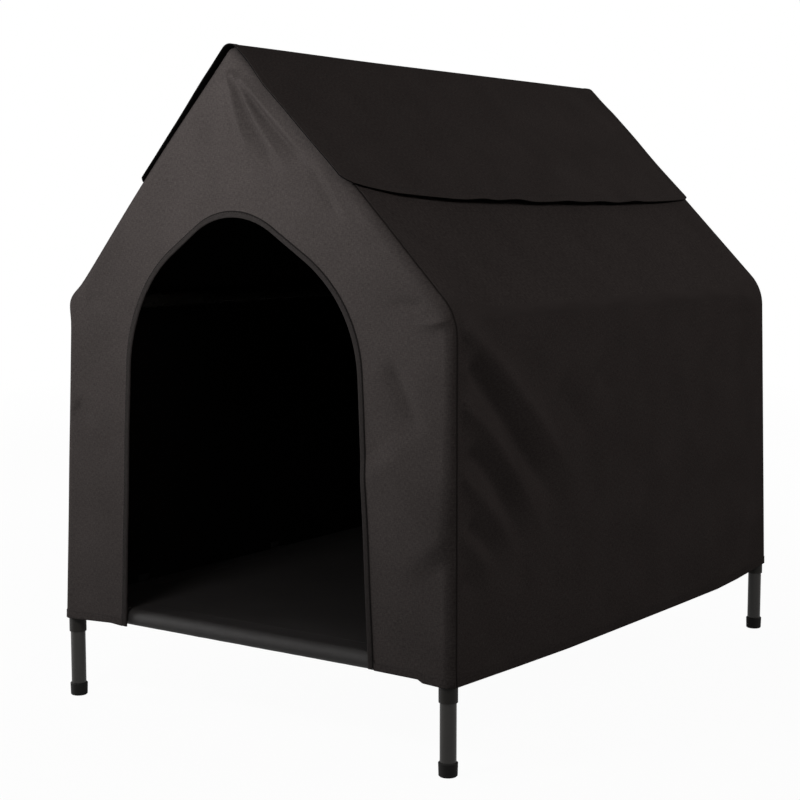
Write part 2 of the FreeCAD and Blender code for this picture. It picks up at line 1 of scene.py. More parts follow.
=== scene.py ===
"""The looks of a raised dog bed with a tent roof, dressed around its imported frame.

A tube frame on four legs carries a stretched sleeping mat and a fitted cloth cover with an arched
doorway. A loose cap lies over the ridge, and its two flaps lift to open the roof vents.
Metres, +Z up, and the doorway faces -Y.
"""

import logging
import math
from contextlib import contextmanager
from dataclasses import dataclass
from enum import Enum
from typing import Callable, Iterator, Sequence

import bmesh
import bpy
import numpy as np
from mathutils import Matrix, Vector, noise


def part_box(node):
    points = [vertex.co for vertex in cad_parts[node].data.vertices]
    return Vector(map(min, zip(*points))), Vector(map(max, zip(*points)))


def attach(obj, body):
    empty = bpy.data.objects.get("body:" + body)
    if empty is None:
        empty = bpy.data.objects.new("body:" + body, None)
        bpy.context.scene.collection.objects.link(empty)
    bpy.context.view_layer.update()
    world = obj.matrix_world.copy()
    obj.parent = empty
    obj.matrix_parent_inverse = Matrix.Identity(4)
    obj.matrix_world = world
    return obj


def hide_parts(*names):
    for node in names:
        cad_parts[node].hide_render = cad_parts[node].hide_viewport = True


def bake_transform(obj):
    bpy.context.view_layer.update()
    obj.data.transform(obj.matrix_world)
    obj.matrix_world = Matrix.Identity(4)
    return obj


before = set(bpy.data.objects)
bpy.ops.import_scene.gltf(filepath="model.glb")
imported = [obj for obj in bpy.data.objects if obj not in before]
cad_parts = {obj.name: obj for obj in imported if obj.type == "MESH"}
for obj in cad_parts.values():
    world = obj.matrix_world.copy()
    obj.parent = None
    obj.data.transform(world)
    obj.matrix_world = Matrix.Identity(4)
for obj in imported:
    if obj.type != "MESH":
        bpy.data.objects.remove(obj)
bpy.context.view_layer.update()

Array = np.ndarray
Surface = Callable[[Array, Array], Array]
Pair = tuple[float, float]
Line = tuple[Pair, ...]
Place = tuple[float, float, float]
Colour = tuple[float, float, float]
Counts = tuple[int, ...]
Material = bpy.types.Material
Node = bpy.types.Node
Piece = bpy.types.Object
Shape = bmesh.types.BMesh
Socket = bpy.types.NodeSocket

UV_NAME = "cloth"
ROOT_BODY = "frame"
LEAST_LENGTH = 1e-12
log = logging.getLogger("dog_bed")


def legs_middle() -> float:
    """How far along Y the middle of the four legs lies from the origin."""
    ends = [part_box(f"leg_{end}_left") for end in ("front", "rear")]
    return sum(low.y + high.y for low, high in ends) / 4


MIDDLE_Y = legs_middle()


class Side(Enum):
    """A side of the bed, as the sign of X."""

    LEFT = -1
    RIGHT = 1

    @property
    def label(self) -> str:
        """The side's plain name."""
        return self.name.lower()


def clamped(share: Array) -> Array:
    """Holds a share between 0 and 1."""
    return np.clip(share, 0.0, 1.0)


def smooth(share: Array) -> Array:
    """Eases a share from 0 to 1, flat at both ends."""
    held = clamped(share)
    return held * held * (3.0 - 2.0 * held)


def unit_rows(vectors: Array) -> Array:
    """Each row of the array at length one."""
    return vectors / np.maximum(np.linalg.norm(vectors, axis=-1, keepdims=True), LEAST_LENGTH)


def as_shares(marks: Sequence[int]) -> Array:
    """Counts of cells as shares of the last count."""
    return np.array(marks) / marks[-1]


@dataclass(frozen=True)
class Span:
    """A straight run or an arc of a flat line."""

    start: Pair
    heading: float
    length: float
    curvature: float

    def walk(self, distance: Array) -> tuple[Array, Array]:
        """Follows the span.

        Args:
            distance: How far along the span each point lies.

        Returns:
            The points, and the normals on the right hand of the way.
        """
        angle = self.heading + self.curvature * distance
        if self.curvature:
            east = (np.sin(angle) - math.sin(self.heading)) / self.curvature
            north = (math.cos(self.heading) - np.cos(angle)) / self.curvature
        else:
            east = distance * math.cos(self.heading)
            north = distance * math.sin(self.heading)
        points = np.stack([self.start[0] + east, self.start[1] + north], axis=-1)
        return points, np.stack([np.sin(angle), -np.cos(angle)], axis=-1)


@dataclass(frozen=True)
class RoundedLine:
    """A flat line through corner points, with each inner corner rounded to its radius."""

    corners: Line
    radii: tuple[float, ...]

    def spans(self) -> list[Span]:
        """Breaks the line up.

        Returns:
            Its straight runs and arcs, in order.
        """
        points = [np.array(corner) for corner in self.corners]
        steps = np.diff(np.array(points), axis=0)
        headings = np.arctan2(steps[:, 1], steps[:, 0])
        made = []
        start = points[0]
        for corner, radius, come, go in zip(points[1:-1], self.radii, headings, headings[1:]):
            turn = (go - come + math.pi) % (2 * math.pi) - math.pi
            tangent = radius * math.tan(abs(turn) / 2)
            run = float(np.linalg.norm(corner - start)) - tangent
            along = np.array([math.cos(come), math.sin(come)])
            bend_start = start + along * run
            made.append(Span(tuple(start), come, run, 0.0))
            made.append(Span(tuple(bend_start), come, radius * abs(turn), math.copysign(1 / radius, turn)))
            start = corner + np.array([math.cos(go), math.sin(go)]) * tangent
        made.append(Span(tuple(start), headings[-1], float(np.linalg.norm(points[-1] - start)), 0.0))
        return made

    def reaches(self) -> Array:
        """How far along the line each span begins, with the whole length last."""
        return np.cumsum([0.0] + [span.length for span in self.spans()])

    def at(self, shares: Array, knots: Sequence[float]) -> tuple[Array, Array]:
        """Points along the line.

        Args:
            shares: Places along the line.
            knots: The shares at which the spans begin and end.

        Returns:
            The points, and the normals on the right hand of the way.
        """
        points = np.zeros((len(shares), 2))
        normals = np.zeros((len(shares), 2))
        for span, low, high in zip(self.spans(), knots, knots[1:]):
            inside = (shares >= low) & (shares <= high)
            walked = (shares[inside] - low) / (high - low) * span.length
            points[inside], normals[inside] = span.walk(walked)
        return points, normals


@dataclass(frozen=True)
class Fold:
    """A soft crease along a smooth path over a panel.

    The height is outwards, or inwards where it is negative. The crease swells over the first fade
    share of its path and dies over the last, and its width grows by the spread on the way. A low
    crispness draws its crest to a line.
    """

    path: Line
    height: float
    width: float
    fade: Pair = (0.2, 0.5)
    spread: float = 1.5
    crispness: float = 1.5
    cuts: int = 3

    def line(self) -> Array:
        """Cuts the path's corners until it runs smoothly.

        Returns:
            The points of the smooth path.
        """
        points = np.array(self.path)
        for _ in range(self.cuts):
            first = points[:-1] * 0.75 + points[1:] * 0.25
            second = points[:-1] * 0.25 + points[1:] * 0.75
            inner = np.stack([first, second], axis=1).reshape(-1, 2)
            points = np.concatenate([points[:1], inner[1:-1], points[-1:]])
        return points

    def lift(self, places: Array) -> Array:
        """How far the crease lifts each place of the panel.

        Args:
            places: Panel coordinates, one row each.

        Returns:
            The lift of each place, outwards.
        """
        line = self.line()
        steps = np.diff(line, axis=0)
        lengths = np.linalg.norm(steps, axis=1)
        total = lengths.sum()
        nearest = np.full(len(places), np.inf)
        share = np.zeros(len(places))
        passed = 0.0
        for start, step, length in zip(line, steps, lengths):
            part = clamped((places - start) @ step / length**2)
            gap = np.linalg.norm(places - start - part[:, None] * step, axis=1)
            closer = gap < nearest
            nearest = np.where(closer, gap, nearest)
            share = np.where(closer, (passed + part * length) / total, share)
            passed += length
        swell = smooth(share / self.fade[0]) * smooth((1 - share) / self.fade[1])
        width = self.width * (1 + (self.spread - 1) * share)
        return self.height * swell * np.exp(-np.abs(nearest / width) ** self.crispness)


def folded(folds: Sequence[Fold], places: Array) -> Array:
    """The lift of all the folds together at each place."""
    return sum((fold.lift(places) for fold in folds), np.zeros(len(places)))


@dataclass(frozen=True)
class Slack:
    """A gentle unevenness, as slack cloth has: how far apart its swells lie each way, and their height."""

    size: Pair
    height: float

    def lift(self, places: Array, seed: float) -> Array:
        """How far the slack lifts each place of the panel, from a start in the noise."""
        scaled = places / np.array(self.size)
        return self.height * np.array([noise.noise(Vector((a, b, seed))) for a, b in scaled])


def mapped_sheet(name: str, columns: int, rows: int, place: Surface, outward: Vector,
                 cloth_size: Pair | None) -> Piece:
    """A sheet made from a grid whose points are set on a surface.

    Args:
        name: The piece's name.
        columns: Cells across the sheet.
        rows: Cells along the sheet.
        place: Gives the points for shares across and along, from 0 to 1.
        outward: A direction that the sheet's faces look towards on the whole.
        cloth_size: The sheet's flat width and length, for its weave, or None for an upright panel
            whose weave runs across and up.

    Returns:
        The sheet, with its weave laid out in metres.
    """
    shape = bmesh.new()
    bmesh.ops.create_grid(shape, x_segments=columns, y_segments=rows, size=0.5)
    shape.verts.index_update()
    shares = np.array([vert.co[:2] for vert in shape.verts]) + 0.5
    weave = shape.loops.layers.uv.new(UV_NAME)
    placed = place(shares[:, 0], shares[:, 1])
    laid = placed[:, [0, 2]] if cloth_size is None else shares * np.array(cloth_size)
    for face in shape.faces:
        for loop in face.loops:
            loop[weave].uv = laid[loop.vert.index]
    for vert, point in zip(shape.verts, placed):
        vert.co = point
    shape.normal_update()
    facing = sum((face.normal * face.calc_area() for face in shape.faces), Vector()).dot(outward)
    if facing < 0:
        bmesh.ops.reverse_faces(shape, faces=shape.faces[:])
    return as_object(name, shape)


def as_object(name: str, shape: Shape) -> Piece:
    """Turns a shape that is laid out from the middle of the legs into a smooth-shaded piece.

    Args:
        name: The piece's name.
        shape: The shape, which is used up.

    Returns:
        The piece, at the origin.
    """
    bmesh.ops.translate(shape, verts=shape.verts[:], vec=(0.0, MIDDLE_Y, 0.0))
    for face in shape.faces:
        face.smooth = True
    mesh = bpy.data.meshes.new(name)
    shape.to_mesh(mesh)
    shape.free()
    piece = bpy.data.objects.new(name, mesh)
    bpy.context.scene.collection.objects.link(piece)
    return piece


def thicken(piece: Piece, thickness: float, offset: float = -1.0, lined: bool = False) -> Piece:
    """Gives a sheet its cloth's thickness.

    Args:
        piece: The sheet.
        thickness: The cloth's thickness.
        offset: -1 for a wall that grows inwards, 1 outwards, 0 for one on both sides of the sheet.
        lined: Whether the inner face has the finish after the outer one's.

    Returns:
        The sheet.
    """
    wall = piece.modifiers.new("thickness", "SOLIDIFY")
    wall.material_offset = int(lined)
    wall.thickness = thickness
    wall.offset = offset
    wall.use_rim = True
    return piece


@contextmanager
def opened(piece: Piece) -> Iterator[Shape]:
    """Opens a piece's mesh for changes and then keeps them.

    Args:
        piece: The piece.

    Yields:
        Its shape.
    """
    shape = bmesh.new()
    shape.from_mesh(piece.data)
    yield shape
    shape.to_mesh(piece.data)
    shape.free()


def remove_faces(piece: Piece, inside: Callable[[Vector], bool]) -> None:
    """Cuts faces out of a sheet.

    Args:
        piece: The sheet.
        inside: Accepts the weave coordinates of the faces to cut away.
    """
    with opened(piece) as shape:
        weave = shape.loops.layers.uv[UV_NAME]
        doomed = []
        for face in shape.faces:
            middle = sum((loop[weave].uv for loop in face.loops), Vector((0, 0))) / len(face.loops)
            if inside(middle):
                doomed.append(face)
        bmesh.ops.delete(shape, geom=doomed, context="FACES")


class Bench:
    """Wires the shader nodes of a material or of the world."""

    def __init__(self, owner: Material | bpy.types.World) -> None:
        """Turns on the owner's nodes.

        Args:
            owner: The material or world.
        """
        owner.use_nodes = True
        self.owner = owner
        self.tree = owner.node_tree

    @property
    def shader(self) -> Node:
        """A material's principled shader."""
        return self.tree.nodes["Principled BSDF"]

    def add(self, kind: str, inputs: dict | None = None, **settings: object) -> Node:
        """Adds a node.

        Args:
            kind: The node's type.
            inputs: Values or sockets for its inputs, by name or number.
            **settings: The node's own settings.

        Returns:
            The node.
        """
        node = self.tree.nodes.new(kind)
        for key, value in settings.items():
            setattr(node, key, value)
        return self.feed(node, inputs or {})

    def feed(self, node: Node, inputs: dict) -> Node:
        """Sets or links a node's inputs.

        Args:
            node: The node.
            inputs: Values or sockets for its inputs, by name or number.

        Returns:
            The node.
        """
        for key, value in inputs.items():
            if isinstance(value, Socket):
                self.tree.links.new(value, node.inputs[key])
            else:
                node.inputs[key].default_value = value
        return node

    def math(self, operation: str, first: object, second: object = 0.0) -> Socket:
        """One sum of two values or sockets."""
        return self.add("ShaderNodeMath", {0: first, 1: second}, operation=operation).outputs[0]

    def noise(self, vector: object, scale: float, detail: float = 2.0) -> Socket:
        """A grain of the given scale over the coordinates."""
        grain = self.add("ShaderNodeTexNoise", {"Vector": vector, "Scale": scale, "Detail": detail})
        return grain.outputs["Fac"]

    def stretched(self, vector: object, scale: Sequence[float]) -> Socket:
        """Coordinates scaled by a different amount each way."""
        return self.add("ShaderNodeMapping", {"Vector": vector, "Scale": scale}).outputs[0]

    def ranged(self, value: Socket, given: Pair, wanted: Pair) -> Socket:
        """A value carried from the range that it comes in to a wanted one."""
        names = ("Value", "From Min", "From Max", "To Min", "To Max")
        return self.add("ShaderNodeMapRange", dict(zip(names, (value, *given, *wanted)))).outputs[0]

    def ramp(self, factor: object, stops: Pair, colours: tuple[Colour, Colour]) -> Socket:
        """Picks a colour between two stops.

        Args:
            factor: What picks the colour.
            stops: The stops' places, in order.
            colours: The stops' colours.

        Returns:
            The colour's socket.
        """
        node = self.add("ShaderNodeValToRGB", {0: factor})
        for stop, place, colour in zip(node.color_ramp.elements, stops, colours):
            stop.position = place
            stop.color = (*colour, 1.0)
        return node.outputs["Color"]

    def bump(self, height: object, distance: float, strength: float) -> Socket:
        """A normal that follows a height."""
        inputs = {"Height": height, "Distance": distance, "Strength": strength}
        return self.add("ShaderNodeBump", inputs).outputs[0]


@dataclass(frozen=True)
class ClothFinish:
    """Plain-woven cloth of two dark yarns, with slubs along both of them."""

    name: str
    dark: Colour
    light: Colour
    yarn: float = 0.0007
    roughness: float = 0.9
    specular: float = 0.0
    slubs: Pair = (760.0, 210.0)
    blotches: float = 14.0
    yarn_share: float = 0.42
    blotch_share: float = 0.16
    stops: Pair = (0.34, 0.68)
    weave_relief: float = 0.35
    relief: float = 0.3
    relief_strength: float = 0.7

    def material(self) -> Material:
        """Builds the cloth's material.

        Returns:
            The material.
        """
        bench = Bench(bpy.data.materials.new(self.name))
        laid = bench.add("ShaderNodeUVMap", uv_map=UV_NAME).outputs[0]
        warp = bench.noise(bench.stretched(laid, (*self.slubs, 1.0)), 1.0)
        weft = bench.noise(bench.stretched(laid, (*self.slubs[::-1], 1.0)), 1.0)
        yarns = bench.math("ADD", warp, weft)
        blotch = bench.math("MULTIPLY", bench.noise(laid, self.blotches, 4.0), self.blotch_share)
        tone = bench.math("ADD", bench.math("MULTIPLY", yarns, self.yarn_share), blotch)
        parts = bench.add("ShaderNodeSeparateXYZ", {0: laid})
        turn = 2 * math.pi / self.yarn
        across = bench.math("SINE", bench.math("MULTIPLY", parts.outputs[0], turn))
        along = bench.math("SINE", bench.math("MULTIPLY", parts.outputs[1], turn))
        weave = bench.math("MULTIPLY", bench.math("MULTIPLY", across, along), self.weave_relief)
        height = bench.math("ADD", weave, yarns)
        bench.feed(bench.shader, {
            "Base Color": bench.ramp(tone, self.stops, (self.dark, self.light)),
            "Roughness": self.roughness,
            "Specular IOR Level": self.specular,
            "Normal": bench.bump(height, self.yarn * self.relief, self.relief_strength),
        })
        return bench.owner


@dataclass(frozen=True)
class TapeFinish:
    """Woven tape with fine ribs across it, darker along its first edge with a painted shadow."""

    name: str
    dark: Colour
    light: Colour
    rib: float = 0.0013
    rib_share: float = 0.14
    slubs: Pair = (120.0, 700.0)
    stops: Pair = (0.25, 0.75)
    edge: float = 0.0022
    painted_edge_shadow: float = 0.45
    roughness: float = 0.85
    specular: float = 0.05
    relief: float = 0.2
    relief_strength: float = 0.6

    def material(self) -> Material:
        """Builds the tape's material.

        Returns:
            The material.
        """
        bench = Bench(bpy.data.materials.new(self.name))
        laid = bench.add("ShaderNodeUVMap", uv_map=UV_NAME).outputs[0]
        parts = bench.add("ShaderNodeSeparateXYZ", {0: laid})
        ribs = bench.math("SINE", bench.math("MULTIPLY", parts.outputs[0], 2 * math.pi / self.rib))
        slub = bench.noise(bench.stretched(laid, (*self.slubs, 1.0)), 1.0)
        tone = bench.math("ADD", bench.math("MULTIPLY", ribs, self.rib_share), slub)
        colour = bench.ramp(tone, self.stops, (self.dark, self.light))
        # Painted shadow: the colour darkens over a narrow band at the tape's first edge.
        painted_shadow = bench.ranged(parts.outputs[1], (self.edge / 2, self.edge), (self.painted_edge_shadow, 1.0))
        shadowed_colour = bench.add("ShaderNodeVectorMath", {0: colour, "Scale": painted_shadow}, operation="SCALE")
        bench.feed(bench.shader, {
            "Base Color": shadowed_colour.outputs[0],
            "Roughness": self.roughness,
            "Specular IOR Level": self.specular,
            "Normal": bench.bump(tone, self.rib * self.relief, self.relief_strength),
        })
        return bench.owner


@dataclass(frozen=True)
class CoatFinish:
    """A powder coat, moulded skin or rubber: fine speckle over a base, with faint blotches."""

    name: str
    dark: Colour
    light: Colour
    grain: float
    relief: float
    roughness: Pair
    specular: float
    blotches: float = 22.0
    speckle_share: float = 0.5
    blotch_share: float = 0.5
    stops: Pair = (0.3, 0.7)
    relief_strength: float = 0.5

    def material(self) -> Material:
        """Builds the coat's material.

        Returns:
            The material.
        """
        bench = Bench(bpy.data.materials.new(self.name))
        place = bench.add("ShaderNodeTexCoord").outputs["Object"]
        speckle = bench.noise(place, 1.0 / self.grain, 3.0)
        blotch = bench.noise(place, self.blotches, 3.0)
        tone = bench.math("ADD", bench.math("MULTIPLY", speckle, self.speckle_share),
                          bench.math("MULTIPLY", blotch, self.blotch_share))
        bench.feed(bench.shader, {
            "Base Color": bench.ramp(tone, self.stops, (self.dark, self.light)),
            "Roughness": bench.ranged(blotch, self.stops, self.roughness),
            "Specular IOR Level": self.specular,
            "Normal": bench.bump(speckle, self.relief, self.relief_strength),
        })
        return bench.owner


class Finishes:
    """The bed's materials, one for each finish."""

    def __init__(self) -> None:
        """Builds every material."""
        self.cover = ClothFinish(
            "cover_cloth", dark=(0.044, 0.0382, 0.0368), light=(0.088, 0.0764, 0.0736)).material()
        # The lining's near-black colour is partly the coating's own and partly painted shade for the inside
        # of the cover and the undersides of the cap's flaps.
        self.coating_and_shade = CoatFinish(
            "cover_inner_coating_and_painted_shade", dark=(0.003, 0.0028, 0.0027), light=(0.006, 0.0055, 0.0054),
            grain=0.0007, relief=0.00008, roughness=(0.8, 0.9), specular=0.05).material()
        self.hem = ClothFinish(
            "hem_cloth", dark=(0.040, 0.0347, 0.0335), light=(0.080, 0.0695, 0.0669)).material()
        self.mat = ClothFinish(
            "mat_cloth", dark=(0.016, 0.0145, 0.0141), light=(0.032, 0.0291, 0.0283),
            yarn=0.0011, specular=0.26, roughness=0.5).material()
        self.tape = TapeFinish(
            "binding_tape", dark=(0.022, 0.0193, 0.0187), light=(0.039, 0.0341, 0.0330)).material()
        self.net = CoatFinish(
            "vent_net", dark=(0.012, 0.011, 0.011), light=(0.026, 0.024, 0.023),
            grain=0.0008, relief=0.0001, roughness=(0.6, 0.75), specular=0.3).material()
        self.thread = CoatFinish(
            "thread", dark=(0.030, 0.0263, 0.0254), light=(0.050, 0.0438, 0.0424),
            grain=0.0006, relief=0.00005, roughness=(0.7, 0.8), specular=0.08).material()
        self.pile = CoatFinish(
            "hook_and_loop", dark=(0.008, 0.008, 0.008), light=(0.024, 0.023, 0.023),
            grain=0.0009, relief=0.0005, roughness=(0.9, 1.0), specular=0.1).material()
        self.tube = CoatFinish(
            "powder_coated_tube", dark=(0.033, 0.0314, 0.0279), light=(0.050, 0.0474, 0.0424),
            grain=0.0009, relief=0.00004, roughness=(0.24, 0.33), specular=0.5).material()
        self.fitting = CoatFinish(
            "powder_coated_fitting", dark=(0.024, 0.0228, 0.020), light=(0.037, 0.0346, 0.0314),
            grain=0.0009, relief=0.00006, roughness=(0.45, 0.55), specular=0.2).material()
        self.rubber = CoatFinish(
            "foot_rubber", dark=(0.015, 0.015, 0.0144), light=(0.031, 0.0303, 0.0290),
            grain=0.0012, relief=0.00012, roughness=(0.62, 0.8), specular=0.15).material()


def install(piece: Piece, material: Material,
            replaced: Sequence[str] = (), body: str | None = ROOT_BODY,
            lining: Material | None = None) -> Piece:
    """Dresses a piece and sets it on the frame.

    Args:
        piece: The finished piece.
        material: Its finish.
        replaced: The nodes that it stands for.
        body: The body that it rides on, or None to leave it unattached.
        lining: The finish of its inner face, where that differs.

    Returns:
        The piece.
    """
    piece.data.materials.append(material)
    if lining:
        piece.data.materials.append(lining)
    if body:
        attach(piece, body)
    if replaced:
        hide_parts(*replaced)
    log.info("%s: %d faces", piece.name, len(piece.data.polygons))
    return piece


@dataclass(frozen=True)
class FrameLines:
    """Centre lines of the tubes under the cloth, and how far from them the cloth lies."""

    leg_x: float
    leg_y: float
    rail_z: float
    ridge_z: float
    post_foot_z: float = 0.153
    eave_x: float = 0.325
    eave_y: float = 0.476
    eave_z: float = 0.590
    ridge_front_y: float = 0.4995
    ridge_rear_y: float = 0.4675
    hem_z: float = 0.120
    eave_bend: float = 0.060
    eave_crease: float = 0.012
    eave_easing: float = 0.040
    cover_out: float = 0.0147
    cloth: float = 0.001
    bend_start: float = 0.455
    bend_end: float = 0.545
    fan_start: float = 0.985
    gable_bow: float = 0.004
    bow_power: float = 1.5
    corner_pull: float = 0.0065
    pull_reach: float = 0.03
    hem_reach: float = 0.11
    flat_foot: float = 0.042
    foot_easing: float = 0.05
    seam_dip: float = 0.0019
    seam_turn: float = math.radians(6)
    front_turn: float = math.radians(10)
    rear_turn: float = math.pi / 4

    @classmethod
    def from_nodes(cls) -> "FrameLines":
        """Reads the places of the legs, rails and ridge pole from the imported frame.

        Returns:
            The lines.
        """
        leg_low, leg_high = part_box("leg_rear_right")
        rail_low, rail_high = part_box("front_base_rail")
        pole_low, pole_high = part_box("ridge_pole")
        return cls(
            leg_x=(leg_low.x + leg_high.x) / 2,
            leg_y=(leg_low.y + leg_high.y) / 2 - MIDDLE_Y,
            rail_z=(rail_low.z + rail_high.z) / 2,
            ridge_z=(pole_low.z + pole_high.z) / 2,
        )

    def carried_to_hem(self, leg: float, eave: float) -> float:
        """Where a leaning post's line, carried on downwards, meets the hem's height."""
        return leg + (leg - eave) * (self.post_foot_z - self.hem_z) / (self.eave_z - self.post_foot_z)

    @property
    def fall(self) -> Pair:
        """Down the right roof slope, as (across, up)."""
        slope = math.hypot(self.eave_x, self.ridge_z - self.eave_z)
        return self.eave_x / slope, (self.eave_z - self.ridge_z) / slope

    @property
    def knots(self) -> tuple[float, ...]:
        """Shares from hem to ridge at which wall, eave bend and roof begin and end."""
        return 0.0, self.bend_start, self.bend_end, self.fan_start

    def gable_line(self) -> RoundedLine:
        """Post and rafter at the right of an end wall, as (across, up)."""
        foot = (self.carried_to_hem(self.leg_x, self.eave_x), self.hem_z)
        return RoundedLine((foot, (self.eave_x, self.eave_z), (0.0, self.ridge_z)), (self.eave_bend,))

    def middle_line(self) -> RoundedLine:
        """The line of the right side halfway along, where only the eave rail bends the cloth.

        Returns:
            The line, as (across, up).
        """
        line = self.gable_line()
        points = np.array(line.corners)
        come, go = unit_rows(np.diff(points, axis=0))
        inward = unit_rows(go - come)
        half_turn = math.acos(float(np.clip(come @ go, -1, 1))) / 2
        step = (self.eave_bend - self.eave_crease) * (1 / math.cos(half_turn) - 1)
        eave = points[1] + inward * step
        return RoundedLine((line.corners[0], tuple(eave), line.corners[2]), (self.eave_crease,))

    def rise(self, along: Array) -> Array:
        """Distance from the hem over the cloth, for shares from hem to ridge."""
        reaches = self.gable_line().reaches()
        fan = math.atan2(-self.fall[1], self.fall[0]) * self.cover_out
        return np.interp(along, (*self.knots, 1.0), (*reaches, reaches[-1] + fan))

    def slope_share(self, down: Array | float) -> Array | float:
        """The share from hem to ridge of a place on the roof, by its distance from the ridge axis."""
        roof = self.gable_line().spans()[-1].length
        return self.fan_start - (self.fan_start - self.bend_end) * down / roof

    @property
    def roof_length(self) -> float:
        """Length of the ridge between the two end walls' tubes."""
        return self.ridge_front_y + self.ridge_rear_y

    def half_depth(self, height: Array, end: Array | float) -> Array:
        """How far the tubes of an end wall stand from the middle of the bed at a height.

        Args:
            height: Heights above the floor.
            end: Negative for the front wall, positive for the rear wall.

        Returns:
            The distances, all positive.
        """
        hem_y = self.carried_to_hem(self.leg_y, self.eave_y)
        wall = (self.eave_y - hem_y) / (self.eave_z - self.hem_z)
        ridge_y = np.where(np.asarray(end) < 0, self.ridge_front_y, self.ridge_rear_y)
        roof = (ridge_y - self.eave_y) / (self.ridge_z - self.eave_z)
        eased = np.clip(height - self.eave_z + self.eave_easing, 0.0, 2 * self.eave_easing)
        past = np.maximum(height - self.eave_z - self.eave_easing, 0.0)
        bend = (roof - wall) * (eased**2 / (4 * self.eave_easing) + past)
        return self.eave_y + wall * (height - self.eave_z) + bend

    def section(self, along: Array, middle: Array) -> tuple[Array, Array]:
        """The right side's tube line and its outward normals.

        Args:
            along: Shares from hem to ridge.
            middle: 0 at an end wall, 1 where only the rails carry the cloth.

        Returns:
            Points and normals as (across, up).
        """
        held = np.minimum(along, self.fan_start)
        gable, gable_out = self.gable_line().at(held, self.knots)
        centre, centre_out = self.middle_line().at(held, self.knots)
        weight = middle[:, None]
        points = gable * (1 - weight) + centre * weight
        normals = unit_rows(gable_out * (1 - weight) + centre_out * weight)
        fan = clamped((along - self.fan_start) / (1 - self.fan_start))
        tilt = np.arctan2(normals[:, 0], normals[:, 1]) * (1 - fan)
        turned = np.stack([np.sin(tilt), np.cos(tilt)], axis=-1)
        return points, np.where((along > self.fan_start)[:, None], turned, normals)

    def bow(self, along: Array, side: Array | float, end: Array | float) -> Array:
        """How far a gable's edge bows outwards.

        Only the front edges bow, above the eave, and the front left corner is pulled out at the eave.

        Args:
            along: Shares from hem to ridge.
            side: Negative for the left edge, positive for the right edge.
            end: Negative for the front gable, positive for the rear gable.

        Returns:
            The distances outwards.
        """
        share = clamped((along - self.bend_end) / (self.fan_start - self.bend_end))
        bowed = self.gable_bow * np.sin(math.pi * share) ** self.bow_power
        eave = (self.bend_start + self.bend_end) / 2
        pulled = self.corner_pull * np.exp(-((along - eave) / self.pull_reach) ** 2) * (np.asarray(side) < 0)
        return (bowed + pulled) * (np.asarray(end) < 0)

    def end_area(self, turn: float) -> float:
        """Flat area of a closed end panel with its borders, which go round the posts and rafters.

        Args:
            turn: How far round the tubes the panel goes, as an angle.

        Returns:
            The area.
        """
        foot = self.carried_to_hem(self.leg_x, self.eave_x)
        wall = (foot + self.eave_x) * (self.eave_z - self.hem_z)
        gable = self.eave_x * (self.ridge_z - self.eave_z)
        rafter = math.hypot(self.eave_x, self.ridge_z - self.eave_z)
        return wall + gable + 2 * self.cover_out * turn * (self.eave_z - self.hem_z + rafter)

    def hem_fade(self, height: Array) -> Array:
        """How much of the hem's own rise or drop is left at a height, from 1 at the hem to 0."""
        return 1 - smooth((height - self.hem_z) / self.hem_reach)

    def foot_fade(self, above: Array) -> Array:
        """How free the cloth is to fold at a distance above the hem, from 0 on the flat foot to 1."""
        return smooth((above - self.flat_foot) / self.foot_easing)

    def reach(self, theta: Array, limit: Array | float) -> Array:
        """How far from a tube's axis the cloth lies at an angle round it, with a dip at the seam."""
        return self.cover_out - self.seam_dip * smooth((theta - limit) / self.seam_turn + 1)


